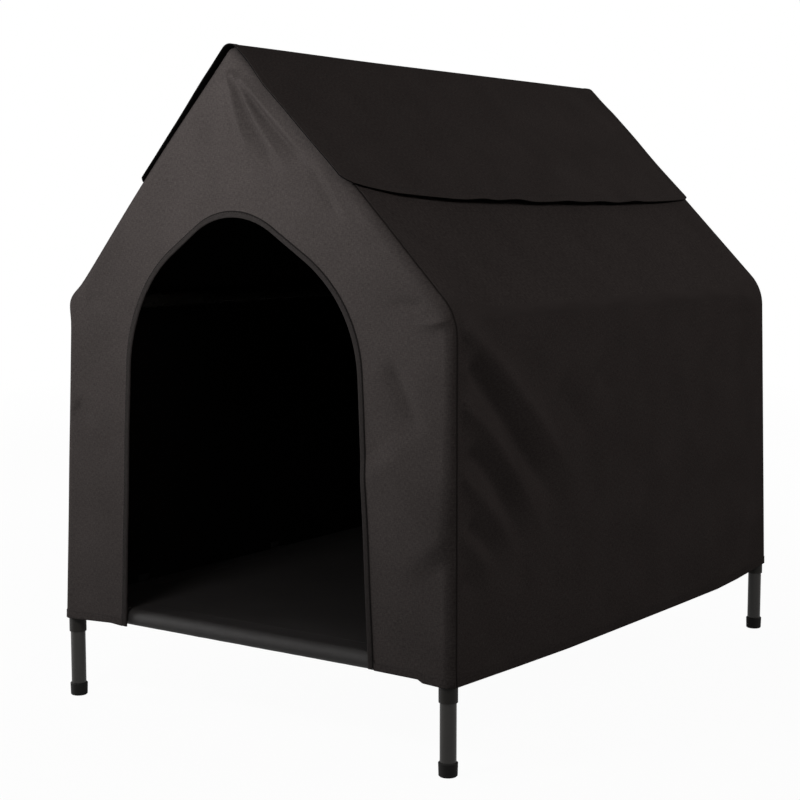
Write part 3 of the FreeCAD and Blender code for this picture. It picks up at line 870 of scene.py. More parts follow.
@dataclass
class SidePanel:
    """Wall and roof of one side in one cloth, with the vent cut out of the roof."""

    side: Side
    lines: FrameLines
    folds: tuple[Fold, ...]
    hem_drops: Line
    seed: float
    column_marks: Counts = (0, 4, 30, 190, 216, 220)
    row_marks: Counts = (0, 90, 110, 132, 174, 184, 190)
    wrap_share: float = 0.965
    end_steepness: float = 4.5
    wall_sag: float = 0.003
    roof_sag: float = 0.004
    fold_margin: float = 0.014
    ridge_margin: float = 0.03
    swell: Slack = Slack((0.16, 0.13), 0.0012)
    ripple: Slack = Slack((0.05, 0.045), 0.0004)
    ripple_seed: float = 7.0
    vent_half_length: float = 0.380
    vent_top: float = 0.052
    vent_bottom: float = 0.202

    def point(self, across: Array, along: Array, offset: float | Array = 0.0) -> Array:
        """Points of the outer face.

        Args:
            across: From -1 at the front seam to 1 at the rear seam.
            along: Shares from hem to ridge.
            offset: Extra distance outwards.

        Returns:
            The points, one row each.
        """
        lines = self.lines
        inner = clamped(np.abs(across) / self.wrap_share)
        middle = smooth((1 - inner) * self.end_steepness)
        centre, out = lines.section(along, middle)
        half = lines.half_depth(centre[:, 1], across)
        limit = np.where(across < 0, lines.front_turn, lines.rear_turn)
        theta = clamped((np.abs(across) - self.wrap_share) / (1 - self.wrap_share)) * limit
        depth = np.sign(across) * inner * half
        lift = self.lift(depth, lines.rise(along), half, along)
        reach = lines.reach(theta, limit) + offset
        radial = reach * np.cos(theta) + lift + lines.bow(along, self.side.value, across) * (1 - middle)
        places = np.empty((len(across), 3))
        places[:, 0] = self.side.value * (centre[:, 0] + out[:, 0] * radial)
        places[:, 1] = depth + np.sign(across) * reach * np.sin(theta)
        places[:, 2] = centre[:, 1] + out[:, 1] * radial
        drop = np.interp(places[:, 1], *np.array(self.hem_drops).T)
        places[:, 2] -= drop * lines.hem_fade(centre[:, 1])
        return places

    def across_at(self, depth: Array, along: Array) -> Array:
        """The share across the panel of a depth at a share from hem to ridge."""
        centre, _ = self.lines.section(along, np.ones(len(along)))
        return depth / self.lines.half_depth(centre[:, 1], depth) * self.wrap_share

    def lift(self, depth: Array, rise: Array, half: Array, along: Array) -> Array:
        """Folds, sag and unevenness of the cloth between its seams.

        Args:
            depth: Places along the bed, from its middle.
            rise: Distances over the cloth from the hem.
            half: How far the end walls stand from the middle there.
            along: Shares from hem to ridge.

        Returns:
            The lift of each place, outwards.
        """
        lines = self.lines
        places = np.stack([depth, rise], axis=-1)
        edge = smooth((half - np.abs(depth)) / self.fold_margin)
        top = smooth((1 - along) / self.ridge_margin)
        wall = clamped(along / lines.bend_start)
        roof = clamped((along - lines.bend_end) / (lines.fan_start - lines.bend_end))
        sag = self.wall_sag * np.sin(math.pi * wall) ** 2 + self.roof_sag * np.sin(math.pi * roof)
        sag = sag * np.cos(np.clip(depth / half, -1, 1) * math.pi / 2)
        slack = self.swell.lift(places, self.seed) + self.ripple.lift(places, self.seed + self.ripple_seed)
        return (folded(self.folds, places) + slack - sag) * edge * top * lines.foot_fade(rise)

    def build(self) -> Piece:
        """Makes the panel and cuts its vent.

        Returns:
            The panel.
        """
        lines = self.lines
        vent_ends = np.array([-self.vent_half_length, self.vent_half_length])
        vent_middle = lines.slope_share((self.vent_top + self.vent_bottom) / 2)
        vent_front, vent_rear = self.across_at(vent_ends, np.full(2, vent_middle))
        column_shares = as_shares(self.column_marks)
        column_places = (-1.0, -self.wrap_share, vent_front, vent_rear, self.wrap_share, 1.0)
        low, high = lines.slope_share(self.vent_bottom), lines.slope_share(self.vent_top)
        row_shares = as_shares(self.row_marks)
        row_places = (0.0, lines.bend_start, lines.bend_end, low, high, lines.fan_start, 1.0)

        def place(u: Array, v: Array) -> Array:
            """Sets the grid's points on the panel."""
            across = np.interp(u, column_shares, column_places)
            return self.point(across, np.interp(v, row_shares, row_places))

        size = self.flat_size()
        panel = mapped_sheet(f"cover_{self.side.label}_side_cloth", self.column_marks[-1], self.row_marks[-1],
                             place, Vector((self.side.value, 0.0, 0.5)), size)

        def in_vent(weave: Vector) -> bool:
            """Whether a cell lies in the vent."""
            u, v = weave.x / size[0], weave.y / size[1]
            return column_shares[2] < u < column_shares[3] and row_shares[3] < v < row_shares[4]

        remove_faces(panel, in_vent)
        return thicken(panel, lines.cloth, lined=True)

    def flat_size(self) -> Pair:
        """Length and height of the cloth as it was cut."""
        length = self.lines.roof_length + self.lines.cover_out * math.pi / 2
        return length, float(self.lines.rise(np.array([1.0]))[0])


@dataclass
class FrontPanel:
    """The front wall up to the gable, with the arched doorway left open."""

    lines: FrameLines
    folds: tuple[Fold, ...]
    foot_half_width: float = 0.2193
    shoulder_half_width: float = 0.2005
    shoulder_height: float = 0.606
    shoulder_radius: float = 0.202
    crown_height: float = 0.744
    crown_radius: float = 0.119
    arch_shift: float = 0.012
    hem_rises: Line = ((-0.345, 0.0), (-0.25, 0.005), (-0.22, 0.003), (0.22, 0.007), (0.296, 0.006),
                       (0.304, 0.002), (0.345, 0.0))
    columns: int = 520
    rows: int = 72
    axis_share: float = 0.86
    jamb_share: float = 0.23
    bow_start: float = 0.6
    seam_steepness: float = 0.8
    swell: Slack = Slack((0.11, 0.14), 0.0012)
    seed: float = 3.7

    def door_line(self) -> RoundedLine:
        """The doorway's edge from its left foot over the crown to its right foot.

        Returns:
            The line, as (across, up).
        """
        hem_z, shift = self.lines.hem_z, self.arch_shift
        corners = (
            (-self.foot_half_width, hem_z),
            (-self.shoulder_half_width - shift, self.shoulder_height),
            (-shift, self.crown_height),
            (self.shoulder_half_width - shift, self.shoulder_height),
            (self.foot_half_width, hem_z),
        )
        return RoundedLine(corners, (self.shoulder_radius, self.crown_radius, self.shoulder_radius))

    def door(self, way: Array) -> tuple[Array, Array]:
        """Follows the doorway's edge.

        Args:
            way: Shares from the left foot over the crown to the right foot.

        Returns:
            The points, and the normals into the opening.
        """
        line = self.door_line()
        reaches = line.reaches()
        crown = (reaches[3] + reaches[4]) / 2
        marks = (0.0, self.jamb_share, 0.5, 1 - self.jamb_share, 1.0)
        walked = np.interp(way, marks, (0.0, reaches[1], crown, reaches[-2], reaches[-1]))
        return line.at(walked, reaches)

    def point(self, way: Array, inset: Array) -> Array:
        """Points of the outer face.

        Args:
            way: Shares from the left foot over the top to the right foot.
            inset: Shares from the doorway's edge to the seam with the side.

        Returns:
            The points, one row each.
        """
        lines = self.lines
        side = np.where(way < 0.5, -1.0, 1.0)
        mirror = np.stack([side, np.ones(len(way))], axis=-1)
        along = np.minimum(way, 1 - way) * 2
        centre, out = lines.section(along, np.zeros(len(way)))
        centre, out = centre * mirror, out * mirror
        door, _ = self.door(way)
        flat = door + (centre - door) * clamped(inset / self.axis_share)[:, None]
        half = lines.half_depth(flat[:, 1], -1.0)
        limit = math.pi / 2 - lines.front_turn
        theta = clamped((inset - self.axis_share) / (1 - self.axis_share)) * limit
        reach = lines.reach(theta, limit)
        bow = lines.bow(along, side, -1.0) * smooth((inset - self.bow_start) / (1 - self.bow_start))
        flat = flat + out * (reach * np.sin(theta) + bow)[:, None]
        edge = smooth((1 - inset) / (1 - self.axis_share) * self.seam_steepness)
        lift = folded(self.folds, flat) + self.swell.lift(flat, self.seed)
        lift = lift * edge * lines.foot_fade(flat[:, 1] - lines.hem_z)
        rise = np.interp(flat[:, 0], *np.array(self.hem_rises).T)
        height = flat[:, 1] + rise * lines.hem_fade(flat[:, 1])
        return np.stack([flat[:, 0], -(half + reach * np.cos(theta) + lift), height], axis=-1)

    def build(self) -> Piece:
        """Makes the panel."""
        panel = mapped_sheet("cover_front_panel_cloth", self.columns, self.rows, self.point,
                             Vector((0.0, -1.0, 0.0)), None)
        return thicken(panel, self.lines.cloth, lined=True)

    def area(self) -> float:
        """Flat area of the panel without its doorway.

        Returns:
            The area.
        """
        door, _ = self.door(np.linspace(0, 1, 200))
        opening = abs(np.trapz(door[:, 1] - self.lines.hem_z, door[:, 0]))
        return self.lines.end_area(math.pi / 2 - self.lines.front_turn) - opening


@dataclass
class RearPanel:
    """The closed rear wall up to the gable."""

    lines: FrameLines
    folds: tuple[Fold, ...]
    hem_drops: Line = ((-0.345, 0.005), (-0.2, 0.008), (0.0, 0.010), (0.2, 0.009), (0.345, 0.004))
    column_marks: Counts = (0, 6, 144, 150)
    rows: int = 150
    axis_share: float = 0.96
    end_steepness: float = 12.0
    sag: float = 0.004
    sag_stretch: float = 1.2
    swell: Slack = Slack((0.17, 0.2), 0.0016)
    seed: float = 9.1
    weld: float = 1e-5
    least_edge: float = 1e-6

    def point(self, across: Array, along: Array) -> Array:
        """Points of the outer face.

        Args:
            across: From -1 at the left seam to 1 at the right seam.
            along: Shares from hem to ridge.

        Returns:
            The points, one row each.
        """
        lines = self.lines
        centre, out = lines.section(along, np.zeros(len(along)))
        round_post = clamped((np.abs(across) - self.axis_share) / (1 - self.axis_share))
        theta = round_post * lines.rear_turn
        reach = lines.reach(theta, lines.rear_turn)
        inner = clamped(np.abs(across) / self.axis_share)
        wrap = reach * np.sin(theta)
        x = np.sign(across) * (centre[:, 0] * inner + out[:, 0] * wrap)
        flat = np.stack([x, centre[:, 1] + out[:, 1] * wrap], axis=-1)
        edge = smooth((1 - inner) * self.end_steepness) * lines.foot_fade(flat[:, 1] - lines.hem_z)
        lift = (folded(self.folds, flat) + self.swell.lift(flat, self.seed)) * edge
        hollow = np.sin(math.pi * clamped(along * self.sag_stretch)) ** 2
        lift = lift - self.sag * np.cos(inner * math.pi / 2) * hollow
        depth = lines.half_depth(flat[:, 1], 1.0) + reach * np.cos(theta) + lift
        drop = np.interp(x, *np.array(self.hem_drops).T)
        return np.stack([x, depth, flat[:, 1] - drop * lines.hem_fade(flat[:, 1])], axis=-1)

    def build(self) -> Piece:
        """Makes the panel, its rows drawn together at the ridge.

        Returns:
            The panel.
        """
        marks = (-1.0, -self.axis_share, self.axis_share, 1.0)

        def place(u: Array, v: Array) -> Array:
            """Sets the grid's points on the panel."""
            return self.point(np.interp(u, as_shares(self.column_marks), marks), v)

        panel = mapped_sheet("cover_rear_panel_cloth", self.column_marks[-1], self.rows, place,
                             Vector((0.0, 1.0, 0.0)), None)
        with opened(panel) as shape:
            bmesh.ops.remove_doubles(shape, verts=shape.verts[:], dist=self.weld)
            bmesh.ops.dissolve_degenerate(shape, edges=shape.edges[:], dist=self.least_edge)
        return thicken(panel, self.lines.cloth, lined=True)

    def area(self) -> float:
        """Flat area of the panel."""
        return self.lines.end_area(self.lines.rear_turn)


@dataclass
class EdgeTape:
    """A tape or turned hem that is folded over the edge of a panel."""

    name: str
    surface: Surface
    outward: Vector
    length: float
    width: float
    cloth: float
    thickness: float = 0.0007
    columns: int = 300
    flank_rows: int = 4
    lip_rows: int = 6
    tuck: float = 0.8

    @property
    def rows(self) -> int:
        """Cells round the edge."""
        return 2 * self.flank_rows + self.lip_rows

    @property
    def radius(self) -> float:
        """Radius of the lip's outer face."""
        return self.cloth / 2 + self.thickness

    def point(self, along: Array, around: Array) -> Array:
        """Points of the outer face.

        Args:
            along: Shares along the edge.
            around: Shares from the tape's front edge over the lip to its back edge.

        Returns:
            The points, one row each.
        """
        front_end = self.flank_rows / self.rows
        back_start = 1 - front_end
        front = clamped(1 - around / front_end)
        back = clamped((around - back_start) / front_end)
        inset = (front + back) * self.width
        turn = clamped((around - front_end) / (back_start - front_end)) * math.pi
        edge = self.surface(along, np.zeros(len(along)))
        into = unit_rows(self.surface(along, np.full(len(along), self.width)) - edge)
        step = 0.5 / self.columns
        ahead = self.surface(clamped(along + step), inset)
        behind = self.surface(clamped(along - step), inset)
        out = facing_rows(np.cross(ahead - behind, into), self.outward)
        at_rim = np.isclose(front + back, 1.0)
        tuck = np.where(at_rim, self.thickness * self.tuck, 0.0) * np.sign(np.cos(turn))
        level = -self.cloth / 2 + self.radius * np.cos(turn) - tuck
        beyond = self.radius * np.sin(turn)
        return self.surface(along, inset) + out * level[:, None] - into * beyond[:, None]

    def build(self) -> Piece:
        """Makes the tape: its front, the lip over the edge and its back."""
        size = (self.length, 2 * self.width + math.pi * self.radius)
        return mapped_sheet(self.name, self.columns, self.rows, self.point, self.outward, size)


@dataclass
class StitchRow:
    """A row of sewn stitches along a path on a piece."""

    name: str
    pitch: float = 0.0046
    length: float = 0.0034
    width: float = 0.0008
    height: float = 0.0007

    def build(self, paths: Sequence[tuple[Array, Array]]) -> Piece:
        """Sews the row.

        Args:
            paths: For each run of the row, its points and the cloth's outward normals there.

        Returns:
            One piece that holds every stitch.
        """
        shape = bmesh.new()
        for points, normals in paths:
            self.sew(shape, points, normals)
        return as_object(self.name, shape)

    def sew(self, shape: Shape, points: Array, normals: Array) -> None:
        """Adds the stitches of one run.

        Args:
            shape: The shape to add them to.
            points: The run's points.
            normals: The cloth's outward normals there.
        """
        lengths = np.concatenate([[0.0], np.cumsum(np.linalg.norm(np.diff(points, axis=0), axis=1))])
        count = max(int(lengths[-1] / self.pitch), 1)
        marks = (np.arange(count) + 0.5) * lengths[-1] / count

        def at(marks: Array, values: Array) -> Array:
            """Values of the path at the marks."""
            return np.stack([np.interp(marks, lengths, values[:, axis]) for axis in range(3)], axis=-1)

        centres = at(marks, points)
        ways = at(marks + self.length / 2, points) - at(marks - self.length / 2, points)
        for centre, way, out in zip(centres, ways, at(marks, normals)):
            along = Vector(way).normalized()
            side = Vector(out).cross(along).normalized()
            up = along.cross(side)
            turn = Matrix((along * self.length / 2, side * self.width / 2, up * self.height / 2)).transposed()
            bmesh.ops.create_icosphere(shape, subdivisions=1, radius=1.0,
                                       matrix=Matrix.Translation(centre) @ turn.to_4x4())


def facing_rows(vectors: Array, outward: Vector) -> Array:
    """Each row at length one, turned round where it looks away from the outward direction."""
    rows = unit_rows(vectors)
    return rows * np.where(rows @ np.array(outward) < 0, -1.0, 1.0)[:, None]


def seam_path(surface: Surface, way: Array, inset: float, outward: Vector, raised: float,
              probe: float = 0.002) -> tuple[Array, Array]:
    """A stitch row's path over a surface.

    Args:
        surface: Gives points for shares along an edge and distances in from it.
        way: Shares along the edge.
        inset: Distance in from the edge.
        outward: A direction that the surface faces on the whole.
        raised: How far above the surface the thread lies.
        probe: How far further in the surface is felt for its slope.

    Returns:
        The path's points and outward normals.
    """
    level = np.full(len(way), inset)
    points = surface(way, level)
    inward = surface(way, level + probe) - points
    out = facing_rows(np.cross(np.gradient(points, axis=0), inward), outward)
    return points + out * raised, out


@dataclass
class RidgeCap:
    """One half of the loose cap over the ridge: a strip sewn along the ridge and the flap below it."""

    side: Side
    lines: FrameLines
    hem_lifts: tuple[Place, ...]
    front_rise: float
    front_standoff: float
    front_lap: float = 0.0
    columns: int = 220
    rows: int = 84
    fan_rows: int = 6
    hem_cells: int = 4
    inner_out: float = 0.0151
    cloth: float = 0.0008
    hem_cloth: float = 0.0014
    hem_width: float = 0.011
    hem_step: float = 0.0008
    stitch_inset: float = 0.0085
    strip_drop: float = 0.0149
    ridge_lap: float = 0.012
    flap_length: float = 0.266
    cut_length: float = 0.292
    rear_rise: float = 0.019
    rise_power: int = 3
    corner_round: float = 0.012
    corner_power: int = 50
    rear_round: float = 0.0
    rear_power: int = 80
    front_overhang: float = 0.001
    rear_set_back: float = 0.013
    front_lift: float = 0.002
    lift_start: float = 0.3
    lift_end: float = 0.5
    lap_start: float = 0.08
    lap_easing: float = 0.25
    standoff: float = 0.0018
    least_standoff: float = 0.0008
    stand_steepness: float = 4.0
    wave_power: int = 3
    front_start: float = 0.5
    front_calm: float = 0.8
    loose_run: float = 0.05
    end_steepness: float = 4.5
    fan_share: float = 0.05
    bend_before: float = 0.004
    bend_after: float = 0.030
    swell: Slack = Slack((0.13, 0.12), 0.0016)
    swell_length: float = 0.28
    swell_seed: float = 3.0
    sway: Slack = Slack((0.07, 3.0), 0.0016)
    sway_power: int = 6
    seed: float = 21.0

    @property
    def body(self) -> str:
        """The flap's body."""
        return f"{self.side.label}_flap"

    @property
    def full_length(self) -> float:
        """Length of the cloth down the slope, halfway along the ridge."""
        return self.strip_drop + self.flap_length

    def length(self, across: Array) -> Array:
        """Length of the cloth down the slope, shorter towards its two ends and round at its corners.

        Args:
            across: From -1 at the front end to 1 at the rear end.

        Returns:
            The lengths.
        """
        out = np.abs(across)
        front = self.front_rise * out**self.rise_power + self.corner_round * out**self.corner_power
        rear = self.rear_rise * out**self.rise_power + self.rear_round * out**self.rear_power
        return self.full_length - np.where(across < 0, front, rear)

    def point(self, across: Array, down: Array) -> Array:
        """Points of the inner face.

        Args:
            across: From -1 at the front end to 1 at the rear end.
            down: Shares from the ridge to the hem.

        Returns:
            The points, one row each.
        """
        lines = self.lines
        fall = np.array(lines.fall)
        tilt = math.atan2(-fall[1], fall[0])
        phi = clamped(down / self.fan_share) * tilt
        slope = clamped((down - self.fan_share) / (1 - self.fan_share))
        run = slope * self.length(across)
        depth = across * lines.roof_length / 2
        loose = smooth((run - self.strip_drop) / self.loose_run)
        end = 1 - smooth((1 - np.abs(across)) * self.end_steepness)
        bow = lines.bow(lines.slope_share(run), self.side.value, across) * end * (self.front_lap > 0)
        out = self.inner_out + self.stand(depth, slope, across) * loose + bow
        normal = np.stack([np.sin(phi), np.cos(phi)], axis=-1)
        flat = np.array([0.0, lines.ridge_z]) + normal * out[:, None] + fall * run[:, None]
        lifted = smooth((-across - self.lift_start) / (1 - self.lift_start))
        flat[:, 1] += self.front_lift * lifted * (1 - smooth(slope / self.lift_end))
        lap = self.front_overhang + self.front_lap * smooth((slope - self.lap_start) / self.lap_easing)
        past = np.where(across < 0, lap, -self.rear_set_back)
        half = lines.half_depth(flat[:, 1], across) + lines.cover_out + past
        sway = self.sway.lift(np.stack([run, across / 2], axis=-1), self.seed)
        y = across * half + sway * np.abs(across) ** self.sway_power
        return np.stack([self.side.value * flat[:, 0], y, flat[:, 1]], axis=-1)

    def stand(self, depth: Array, slope: Array, across: Array) -> Array:
        """How far the loose flap stands off the roof.

        Args:
            depth: Places along the ridge, from its middle.
            slope: Shares down the slope.
            across: From -1 at the front end to 1 at the rear end.

        Returns:
            The distances.
        """
        front = smooth((-across - self.front_start) / (1 - self.front_start))
        base = (self.standoff * (1 - front) + self.front_standoff * front) * slope
        waves = sum(height * np.exp(-((depth - place) / width) ** 2)
                    for place, height, width in self.hem_lifts)
        places = np.stack([depth, slope * self.swell_length], axis=-1)
        slack = self.swell.lift(places, self.seed + self.swell_seed) * (1 - self.front_calm * front)
        risen = (slack + self.least_standoff) * smooth(slope * self.stand_steepness)
        return base + waves * slope**self.wave_power + risen

    def grid_place(self, u: Array, v: Array) -> Array:
        """Sets a grid's points on the cap, with narrow cells at the hem's step.

        Args:
            u: Shares along the ridge.
            v: Shares down the slope.

        Returns:
            The points, one row each.
        """
        cells, length = self.hem_cells, self.full_length
        hem = self.hem_width / self.lines.roof_length
        step = self.hem_step / self.lines.roof_length
        columns = (0, cells, cells + 1, self.columns - cells - 1, self.columns - cells, self.columns)
        across = np.interp(u, as_shares(columns), (0.0, hem, hem + step, 1 - hem - step, 1 - hem, 1.0))
        rows = (0, self.fan_rows, self.rows - cells - 1, self.rows - cells, self.rows)
        step_start = 1 - (self.hem_width + self.hem_step) / length
        down_marks = (0.0, self.fan_share, step_start, 1 - self.hem_width / length, 1.0)
        return self.point(across * 2 - 1, np.interp(v, as_shares(rows), down_marks))

    def bend_line(self) -> tuple[Vector, Vector]:
        """Where the cloth bends when the flap lifts.

        Returns:
            Where it starts to follow its flap, and from where it follows it wholly.
        """
        across, up = self.lines.fall
        middle = self.inner_out + self.cloth / 2
        hinge = Vector((self.side.value * (across * self.strip_drop - up * middle), 0.0,
                        self.lines.ridge_z + up * self.strip_drop + across * middle))
        fall = Vector((self.side.value * across, 0.0, up))
        return hinge - fall * self.bend_before, hinge + fall * self.bend_after

    @property
    def flat_width(self) -> float:
        """Length of the cap along the ridge."""
        return self.lines.roof_length + 2 * self.lines.cover_out + self.front_overhang - self.rear_set_back

    def build(self) -> Piece:
        """Makes the half cap with its turned hem along three edges.

        Returns:
            The half cap.
        """
        cap = mapped_sheet(f"{self.side.label}_ridge_cap_cloth", self.columns, self.rows, self.grid_place,
                           Vector((self.side.value, 0.0, 1.0)),
                           (self.flat_width, self.full_length + self.ridge_lap))
        hem, cells = cap.vertex_groups.new(name="hem"), self.hem_cells
        for index in range(len(cap.data.vertices)):
            row, column = divmod(index, self.columns + 1)
            if column <= cells or column >= self.columns - cells or row >= self.rows - cells:
                hem.add([index], 1.0, "REPLACE")
        wall = thicken(cap, self.hem_cloth, 1.0, lined=True).modifiers["thickness"]
        wall.vertex_group = hem.name
        wall.thickness_vertex_group = self.cloth / self.hem_cloth
        wall.material_offset_rim = 1
        return cap

    def stitches(self) -> Piece:
        """Sews the hem along the two ends and the foot of the flap.

        Returns:
            The row of stitches.
        """
        inset, half = self.stitch_inset, self.flat_width / 2
        out = Vector((self.side.value, 0.0, 1.0))

        def end_surface(sign: float) -> Surface:
            """The cap by shares down from the ridge and distances in from one end."""
            return lambda way, level: self.point(sign * (1 - level / half), way)

        def foot_surface(way: Array, level: Array) -> Array:
            """The cap by shares along its foot and distances up from it."""
            across = (way * 2 - 1) * (1 - inset / half)
            return self.point(across, 1 - level / self.length(across))

        down = np.linspace(0.02, 0.98, 160) * (1 - inset / self.full_length)
        runs = [seam_path(end_surface(sign), down, inset, out, self.hem_cloth) for sign in (-1.0, 1.0)]
        runs.append(seam_path(foot_surface, np.linspace(0, 1, 400), inset, out, self.hem_cloth))
        return StitchRow(f"{self.side.label}_ridge_cap_stitches", width=0.0006, height=0.0004).build(runs)


@dataclass
class SleepingMat:
    """The stretched mat, its four edges sewn into sleeves round the base rails."""

    lines: FrameLines
    roll: float = 0.0123
    cloth: float = 0.001
    corner_cut: float = 0.046
    tail: float = 0.030
    sag: float = 0.006
    tail_drop: float = 0.0012
    turn_limit: float = math.radians(202)
    column_marks: Counts = (0, 36, 114, 150)
    row_marks: Counts = (0, 36, 154, 190)
    swell: Slack = Slack((0.12, 0.15), 0.0007)
    swell_seed: float = 31.0
    ripple: Slack = Slack((0.02, 0.02), 0.00025)
    ripple_seed: float = 35.0
    edge_power: int = 8
    stitch_raise: float = 0.0002

    def edge_length(self) -> float:
        """Cloth from the top of a rail round it to the seam under the deck."""
        arc = self.roll * self.turn_limit
        across, up = self.edge(np.array([arc]))
        return arc + math.hypot(self.tail + float(across[0]), self.tail_drop + float(up[0]))

    def edge(self, past: Array) -> tuple[Array, Array]:
        """Follows the cloth past the top of a rail and round it.

        Args:
            past: Distances over the cloth from the top of the rail.

        Returns:
            How far outwards and how far up from there each place lies.
        """
        turn = np.clip(past / self.roll, 0.0, self.turn_limit)
        across, up = self.roll * np.sin(turn), -self.roll * (1 - np.cos(turn))
        end = np.array([self.roll * math.sin(self.turn_limit), -self.roll * (1 - math.cos(self.turn_limit))])
        tail = np.array([-self.tail, -self.tail_drop]) - end
        share = np.maximum(past - self.roll * self.turn_limit, 0.0) / np.linalg.norm(tail)
        return across + tail[0] * share, up + tail[1] * share

    def laid(self, place: Array, half: float) -> tuple[Array, Array]:
        """A coordinate over the cloth as its place across the deck and its drop below it."""
        across, up = self.edge(np.maximum(np.abs(place) - half, 0.0))
        return np.sign(place) * (np.minimum(np.abs(place), half) + across), up

    def point(self, over_x: Array, over_y: Array) -> Array:
        """Points of the outer face.

        Args:
            over_x: Distances over the cloth from the middle of the deck, across the bed.
            over_y: The same along the bed.

        Returns:
            The points, one row each.
        """
        x, drop_x = self.laid(over_x, self.lines.leg_x)
        y, drop_y = self.laid(over_y, self.lines.leg_y)
        inside_x = np.clip(over_x / self.lines.leg_x, -1, 1)
        inside_y = np.clip(over_y / self.lines.leg_y, -1, 1)
        hollow = self.sag * (1 - inside_x**2) * (1 - inside_y**2)
        places = np.stack([over_x, over_y], axis=-1)
        free = (1 - np.abs(inside_x) ** self.edge_power) * (1 - np.abs(inside_y) ** self.edge_power)
        slack = self.swell.lift(places, self.swell_seed) * free + self.ripple.lift(places, self.ripple_seed)
        return np.stack([x, y, self.lines.rail_z + self.roll + drop_x + drop_y - hollow + slack], axis=-1)

    def build(self) -> Piece:
        """Makes the mat and cuts out its corners.

        Returns:
            The mat.
        """
        size = self.flat_size()
        half_x, half_y = size[0] / 2, size[1] / 2
        cut_x, cut_y = self.lines.leg_x - self.corner_cut, self.lines.leg_y - self.corner_cut
        shares_x, shares_y = as_shares(self.column_marks), as_shares(self.row_marks)
        marks_x = (-half_x, -cut_x, cut_x, half_x)
        marks_y = (-half_y, -cut_y, cut_y, half_y)

        def place(u: Array, v: Array) -> Array:
            """Sets the grid's points over the deck and its sleeves."""
            return self.point(np.interp(u, shares_x, marks_x), np.interp(v, shares_y, marks_y))

        mat = mapped_sheet("sleeping_mat_cloth", self.column_marks[-1], self.row_marks[-1], place,
                           Vector((0.0, 0.0, 1.0)), size)

        def in_corner(weave: Vector) -> bool:
            """Whether a cell lies in a cut corner."""
            u, v = weave.x / size[0], weave.y / size[1]
            return not shares_x[1] <= u <= shares_x[2] and not shares_y[1] <= v <= shares_y[2]

        remove_faces(mat, in_corner)
        return thicken(mat, self.cloth)

    def area(self) -> float:
        """Flat area of the cut cloth."""
        width, length = self.flat_size()
        return width * length - 4 * (self.edge_length() + self.corner_cut) ** 2

    def flat_size(self) -> Pair:
        """Width and length of the cut cloth."""
        reach = self.edge_length()
        return 2 * (self.lines.leg_x + reach), 2 * (self.lines.leg_y + reach)

    def stitches(self) -> Piece:
        """Sews the rows that close the four sleeves, as they show on the deck.

        Returns:
            The rows of stitches.
        """
        out = Vector((0.0, 0.0, 1.0))
        inset_x, inset_y = self.lines.leg_x - self.tail, self.lines.leg_y - self.tail
        reach_x, reach_y = self.lines.leg_x - self.corner_cut, self.lines.leg_y - self.corner_cut
        runs = []
        for sign in (-1.0, 1.0):
            runs.append(seam_path(lambda way, level: self.point(way * reach_x, sign * (inset_y - level)),
                                  np.linspace(-1, 1, 200), 0.0, out, self.stitch_raise))
            runs.append(seam_path(lambda way, level: self.point(sign * (inset_x - level), way * reach_y),
                                  np.linspace(-1, 1, 260), 0.0, out, self.stitch_raise))
        return StitchRow("sleeping_mat_stitches").build(runs)


